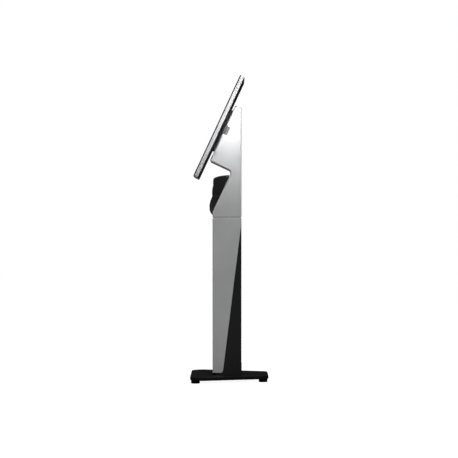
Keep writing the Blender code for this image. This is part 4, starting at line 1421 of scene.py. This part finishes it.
@dataclass
class Printer:
    """Receipt printer: body, base with the chin, lid, flap and the parts inside."""

    half: float = 0.0655
    wall: float = 0.003
    back_depth: float = 0.1490
    lid_line: tuple[Point, ...] = (
        (-0.0045, 0.9655), (-0.0200, 0.9642), (-0.0370, 0.9620), (-0.0480, 0.9600), (-0.0580, 0.9573),
        (-0.0660, 0.9542), (-0.0710, 0.9513), (-0.0737, 0.9487), (-0.0745, 0.9470),
    )
    chin_line: tuple[Point, ...] = (
        (-0.0806, 0.8680), (-0.0824, 0.8622), (-0.0844, 0.8562), (-0.0866, 0.8508), (-0.0886, 0.8456),
        (-0.0903, 0.8406), (-0.0917, 0.8350), (-0.0927, 0.8292), (-0.0933, 0.8230), (-0.0934, 0.8150),
        (-0.0931, 0.8070), (-0.0922, 0.8000), (-0.0907, 0.7950), (-0.0886, 0.7905), (-0.0868, 0.7874),
        (-0.0850, 0.7850), (-0.0827, 0.7822), (-0.0803, 0.7800),
    )
    front_line: tuple[Point, ...] = (
        (-0.0794, 0.8688), (-0.0806, 0.8712), (-0.0813, 0.8740), (-0.0815, 0.8780), (-0.0813, 0.8860),
        (-0.0806, 0.8970), (-0.0796, 0.9045), (-0.0784, 0.9095), (-0.0771, 0.9135), (-0.0764, 0.9175),
        (-0.0762, 0.9230), (-0.0762, 0.9400),
    )
    lid_under: tuple[Point, ...] = (
        (-0.0720, 0.9440), (-0.0690, 0.9480), (-0.0550, 0.9545), (-0.0365, 0.9586), (-0.0045, 0.9620),
    )
    cheek: tuple[Point, ...] = (
        (-0.0715, 0.9455), (-0.0705, 0.9405), (-0.0605, 0.9405), (-0.0590, 0.9540), (-0.0690, 0.9500),
    )
    flap_room: tuple[Point, ...] = (
        (-0.0790, 0.8640), (-0.1000, 0.8640), (-0.1000, 0.7858), (-0.0808, 0.7858), (-0.0790, 0.7900),
    )
    flap_hollow: tuple[Point, ...] = (
        (-0.0820, 0.8520), (-0.0860, 0.8450), (-0.0888, 0.8360), (-0.0908, 0.8240), (-0.0909, 0.8150),
        (-0.0897, 0.8010), (-0.0880, 0.7975), (-0.0700, 0.7975), (-0.0700, 0.8520),
    )

    def back(self, height: float) -> float:
        """Give the y of the sloping back at a height."""
        y, z = Head.at(self.back_depth, 0.0)
        return y + (height - z) * math.tan(SCREEN_TILT)

    def body(self) -> None:
        """Make the upper body: an open tray whose sides rise flush with the lid."""
        outline = [*self.front_line, *reversed(self.lid_line), (self.back(0.9630), 0.9630),
                   (self.back(0.8688), 0.8688)]
        side = self.half
        item = Maker.object("printer_body_shell", Maker.slab(outline, -side, side, Axis.X, 0.0010, 0.0010, 3))
        inside = side - self.wall
        wall = 0.0033
        bay = [
            (-0.0765, 0.8765), (-0.0755, 0.9050), (-0.0728, 0.9160), (-0.0728, 0.9405), (-0.1000, 0.9405),
            (-0.1000, 1.0000), (0.0100, 1.0000), (0.0100, 0.9520), (self.back(0.9520) - wall, 0.9520),
            (self.back(0.8735) - wall, 0.8735), (-0.0760, 0.8735),
        ]
        pin = Workshop.axle("lid_pin")
        key_x, _, key_z = Workshop.middle("feed_button")
        Maker.carve(item, [
            Maker.slab(bay, -inside, inside, Axis.X),
            Maker.rod(PIN_HOLE, -THROUGH, THROUGH, pin, Axis.X, 24),
            Maker.rod(0.0043, -0.09, -0.07, (key_x, 0.0, key_z), Axis.Y, 32),
            Maker.rod(0.0014, -0.09, -0.0745, (key_x - 0.0125, 0.0, key_z), Axis.Y, 20),
        ])
        Maker.soften(item, 0.0004, 2, 40.0)
        Workshop.fit(item, PRINTER_BLACK, "root", "printer_plastic", "printer_body")

    def lid(self) -> None:
        """Make the lid between the body's sides, with its ears and the platen's cheeks."""
        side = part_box("printer_lid")[1][0]
        bm = Maker.slab([*self.lid_line, *self.lid_under], -side, side, Axis.X, 0.0005, 0.0005, 3)
        item = Maker.object("printer_lid_shell", bm)
        pin = Workshop.axle("lid_pin")
        roller = Workshop.axle("platen_roller")
        added = []
        for way in (-1.0, 1.0):
            a, b = sorted((way * 0.0490, way * 0.0560))
            added.append(Maker.rod(0.0038, a, b, pin, Axis.X, 32))
            added.append(Maker.block((a, b), (pin[1] - 0.003, pin[1] + 0.003), (pin[2], pin[2] + 0.0045)))
            a, b = sorted((way * 0.0440, way * 0.0475))
            added.append(Maker.slab(self.cheek, a, b, Axis.X))
        Maker.carve(item, added, weld=True)
        grip = []
        for row in range(4):
            spot = (0.0, -0.0640 + 0.0034 * row, 0.9563 + 0.0013 * row)
            grip.append(Maker.rod(0.0012, -0.020, 0.020, spot, Axis.X, 16))
        Maker.carve(item, [
            Maker.rod(PIN_HOLE, -THROUGH, THROUGH, pin, Axis.X, 24),
            Maker.rod(0.0018, -THROUGH, THROUGH, roller, Axis.X, 24),
            *grip,
        ])
        Maker.soften(item, 0.0003, 2, 40.0)
        Workshop.fit(item, PRINTER_BLACK, "lid", "printer_plastic", "printer_lid")

    def base(self) -> None:
        """Make the base with the bulging chin and the room for the flap."""
        foot = Head.at(self.back_depth, 0.0)
        foot_z = foot[1] + (-0.0803 - foot[0]) / math.tan(SCREEN_TILT)
        outline = [*self.chin_line, (-0.0803, foot_z), (self.back(0.8680), 0.8680)]
        side = self.half
        item = Maker.object("printer_base_shell", Maker.slab(outline, -side, side, Axis.X, 0.0010, 0.0010, 3))
        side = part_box("printer_flap")[1][0] + 0.0004
        pin = Workshop.axle("flap_pin")
        Maker.carve(item, [
            Maker.slab(self.flap_room, -side, side, Axis.X),
            Maker.rod(PIN_HOLE, -THROUGH, THROUGH, pin, Axis.X, 24),
            Maker.rod(0.0052, -side, side, pin, Axis.X, 32),
        ])
        Maker.soften(item, 0.0003, 2, 40.0)
        Workshop.fit(item, PRINTER_BLACK, "root", "printer_plastic", "printer_base")

    def flap(self) -> None:
        """Make the flap that fills the chin, hollow behind and with a finger scoop."""
        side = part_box("printer_flap")[1][0]
        pin = Workshop.axle("flap_pin")
        skin = [(y, z) for y, z in self.chin_line if 0.7940 < z < 0.8600]
        bead = []
        for step in range(9):
            angle = math.radians(185.0 + 110.0 * step / 8)
            bead.append((pin[1] + 0.0044 * math.cos(angle), pin[2] + 0.0044 * math.sin(angle)))
        outline = [(-0.0821, 0.8632), *skin, *bead, (-0.0800, 0.7895), (-0.0796, 0.8632)]
        item = Maker.object("printer_flap_shell", Maker.slab(outline, -side, side, Axis.X, 0.0004, 0.0004, 2))
        scoop = Maker.rod(0.0075, -0.014, 0.014, (0.0, -0.0895, 0.8600), Axis.X, 32)
        Maker.carve(item, [
            Maker.slab(self.flap_hollow, -side + 0.0025, side - 0.0025, Axis.X),
            Maker.rod(PIN_HOLE, -THROUGH, THROUGH, pin, Axis.X, 24),
            scoop,
        ])
        Maker.soften(item, 0.0003, 2, 40.0)
        Workshop.fit(item, PRINTER_BLACK, "flap", "printer_plastic", "printer_flap")

    def build(self) -> None:
        """Make the printer's shells and dress what they hold."""
        self.body()
        self.lid()
        self.base()
        self.flap()
        Workshop.keep("platen_roller", PLATEN, 0.0002)
        Workshop.keep("paper_roll", PAPER, 0.0002)
        Workshop.keep("paper_spindle", PORT_GREY, 0.0003)
        Workshop.keep("feed_button", PORT_GREY, 0.0003)
        for node in ("print_head", "lid_pin", "flap_pin"):
            Workshop.keep(node, ZINC, 0.0002)


@dataclass(frozen=True)
class Lamp:
    """One soft studio light.

    Attributes:
        name: Name of the light.
        place: Where it hangs, in metres.
        target: The point that it faces.
        size: Width and height in metres.
        power: Power in watts.
        spread: Angle of the beam in degrees.
    """

    name: str
    place: Place
    target: Place
    size: Point
    power: float
    spread: float = 180.0


@dataclass
class Studio:
    """Pale floor, soft lights and the side-on camera."""

    camera_place: Place = (6.650, -0.002, 0.713)
    lens: float = 110.7
    floor_half: float = 14.0
    lamps: tuple[Lamp, ...] = (
        Lamp("key", (1.15, 0.05, 1.50), (0.075, 0.0, 1.28), (0.30, 0.30), 0.60, 43.0),
        Lamp("side_fill", (2.2, 0.3, 3.0), (0.0, 0.0, 0.4), (1.6, 1.6), 54.0),
        Lamp("front_fill", (0.9, -2.6, 2.6), (0.0, 0.0, 0.7), (1.6, 1.6), 12.0),
        Lamp("rear_fill", (0.9, 2.6, 2.4), (0.0, 0.0, 0.7), (1.6, 1.6), 18.0),
        Lamp("left_fill", (-1.0, 0.0, 3.6), (0.0, 0.0, 0.6), (1.6, 1.6), 14.0),
    )

    def floor(self) -> None:
        """Lay the pale floor, plain white to the eye and soft in what it throws back."""
        reach = self.floor_half
        square = [(-reach, -reach), (reach, -reach), (reach, reach), (-reach, reach)]
        bm = Maker.slab(square, -0.02, 0.0, Axis.Z)
        item = Maker.object("floor", bm)
        material = bpy.data.materials.new("pale_floor")
        material.use_nodes = True
        tree = material.node_tree
        tree.nodes.remove(tree.nodes["Principled BSDF"])
        end = tree.nodes["Material Output"]
        seen = tree.nodes.new("ShaderNodeLightPath")
        soft = tree.nodes.new("ShaderNodeBsdfDiffuse")
        soft.inputs["Color"].default_value = (0.32, 0.32, 0.32, 1.0)
        glow = tree.nodes.new("ShaderNodeEmission")
        glow.inputs["Strength"].default_value = 0.95
        both = tree.nodes.new("ShaderNodeAddShader")
        tree.links.new(soft.outputs[0], both.inputs[0])
        tree.links.new(glow.outputs[0], both.inputs[1])
        choice = tree.nodes.new("ShaderNodeMixShader")
        tree.links.new(seen.outputs["Is Camera Ray"], choice.inputs[0])
        tree.links.new(soft.outputs[0], choice.inputs[1])
        tree.links.new(both.outputs[0], choice.inputs[2])
        tree.links.new(choice.outputs[0], end.inputs["Surface"])
        Dresser.paint(item, material)

    def world(self) -> None:
        """Make the surround: white to the eye, a dim vertical gradient to the surfaces."""
        world = bpy.data.worlds.new("studio")
        world.use_nodes = True
        bpy.context.scene.world = world
        tree = world.node_tree
        ground = tree.nodes["Background"]
        place = tree.nodes.new("ShaderNodeTexCoord")
        parts = tree.nodes.new("ShaderNodeSeparateXYZ")
        tree.links.new(place.outputs["Generated"], parts.inputs[0])
        height = tree.nodes.new("ShaderNodeMapRange")
        height.inputs["From Min"].default_value = 0.25
        height.inputs["From Max"].default_value = 1.0
        height.inputs["To Min"].default_value = 0.008
        height.inputs["To Max"].default_value = 0.32
        tree.links.new(parts.outputs["Z"], height.inputs["Value"])
        tree.links.new(height.outputs["Result"], ground.inputs["Color"])
        white = tree.nodes.new("ShaderNodeBackground")
        white.inputs["Color"].default_value = (1.0, 1.0, 1.0, 1.0)
        white.inputs["Strength"].default_value = 1.0
        seen = tree.nodes.new("ShaderNodeLightPath")
        choice = tree.nodes.new("ShaderNodeMixShader")
        tree.links.new(seen.outputs["Is Camera Ray"], choice.inputs[0])
        tree.links.new(ground.outputs[0], choice.inputs[1])
        tree.links.new(white.outputs[0], choice.inputs[2])
        tree.links.new(choice.outputs[0], tree.nodes["World Output"].inputs["Surface"])

    def light(self, lamp: Lamp) -> None:
        """Hang one light and face it to its target.

        Args:
            lamp: The light's place, target, size and power.
        """
        data = bpy.data.lights.new(lamp.name, "AREA")
        data.shape = "RECTANGLE"
        data.size, data.size_y = lamp.size
        data.energy = lamp.power
        data.spread = math.radians(lamp.spread)
        item = bpy.data.objects.new(lamp.name, data)
        bpy.context.scene.collection.objects.link(item)
        item.location = lamp.place
        toward = Vector(lamp.target) - Vector(lamp.place)
        item.rotation_euler = toward.to_track_quat("-Z", "Y").to_euler()
        item.visible_camera = False

    def camera(self) -> None:
        """Set up the level camera that looks at the kiosk's right side."""
        data = bpy.data.cameras.new("side_camera")
        data.lens = self.lens
        data.sensor_width = 36.0
        data.clip_end = 100.0
        item = bpy.data.objects.new("side_camera", data)
        bpy.context.scene.collection.objects.link(item)
        item.location = self.camera_place
        item.rotation_euler = (math.pi / 2, 0.0, math.pi / 2)
        bpy.context.scene.camera = item

    def build(self) -> None:
        """Set up the whole studio."""
        self.floor()
        self.world()
        for lamp in self.lamps:
            self.light(lamp)
        self.camera()
        bpy.context.scene.view_settings.view_transform = "Standard"


def main() -> None:
    """Build every sub-assembly and the studio."""
    logging.basicConfig(level=logging.INFO, format="%(name)s: %(message)s")
    for part in (Base(), Column(), Head(), Screen(), Printer()):
        LOG.info("building the %s", type(part).__name__.lower())
        part.build()
    Studio().build()


if __name__ == "__main__":
    main()
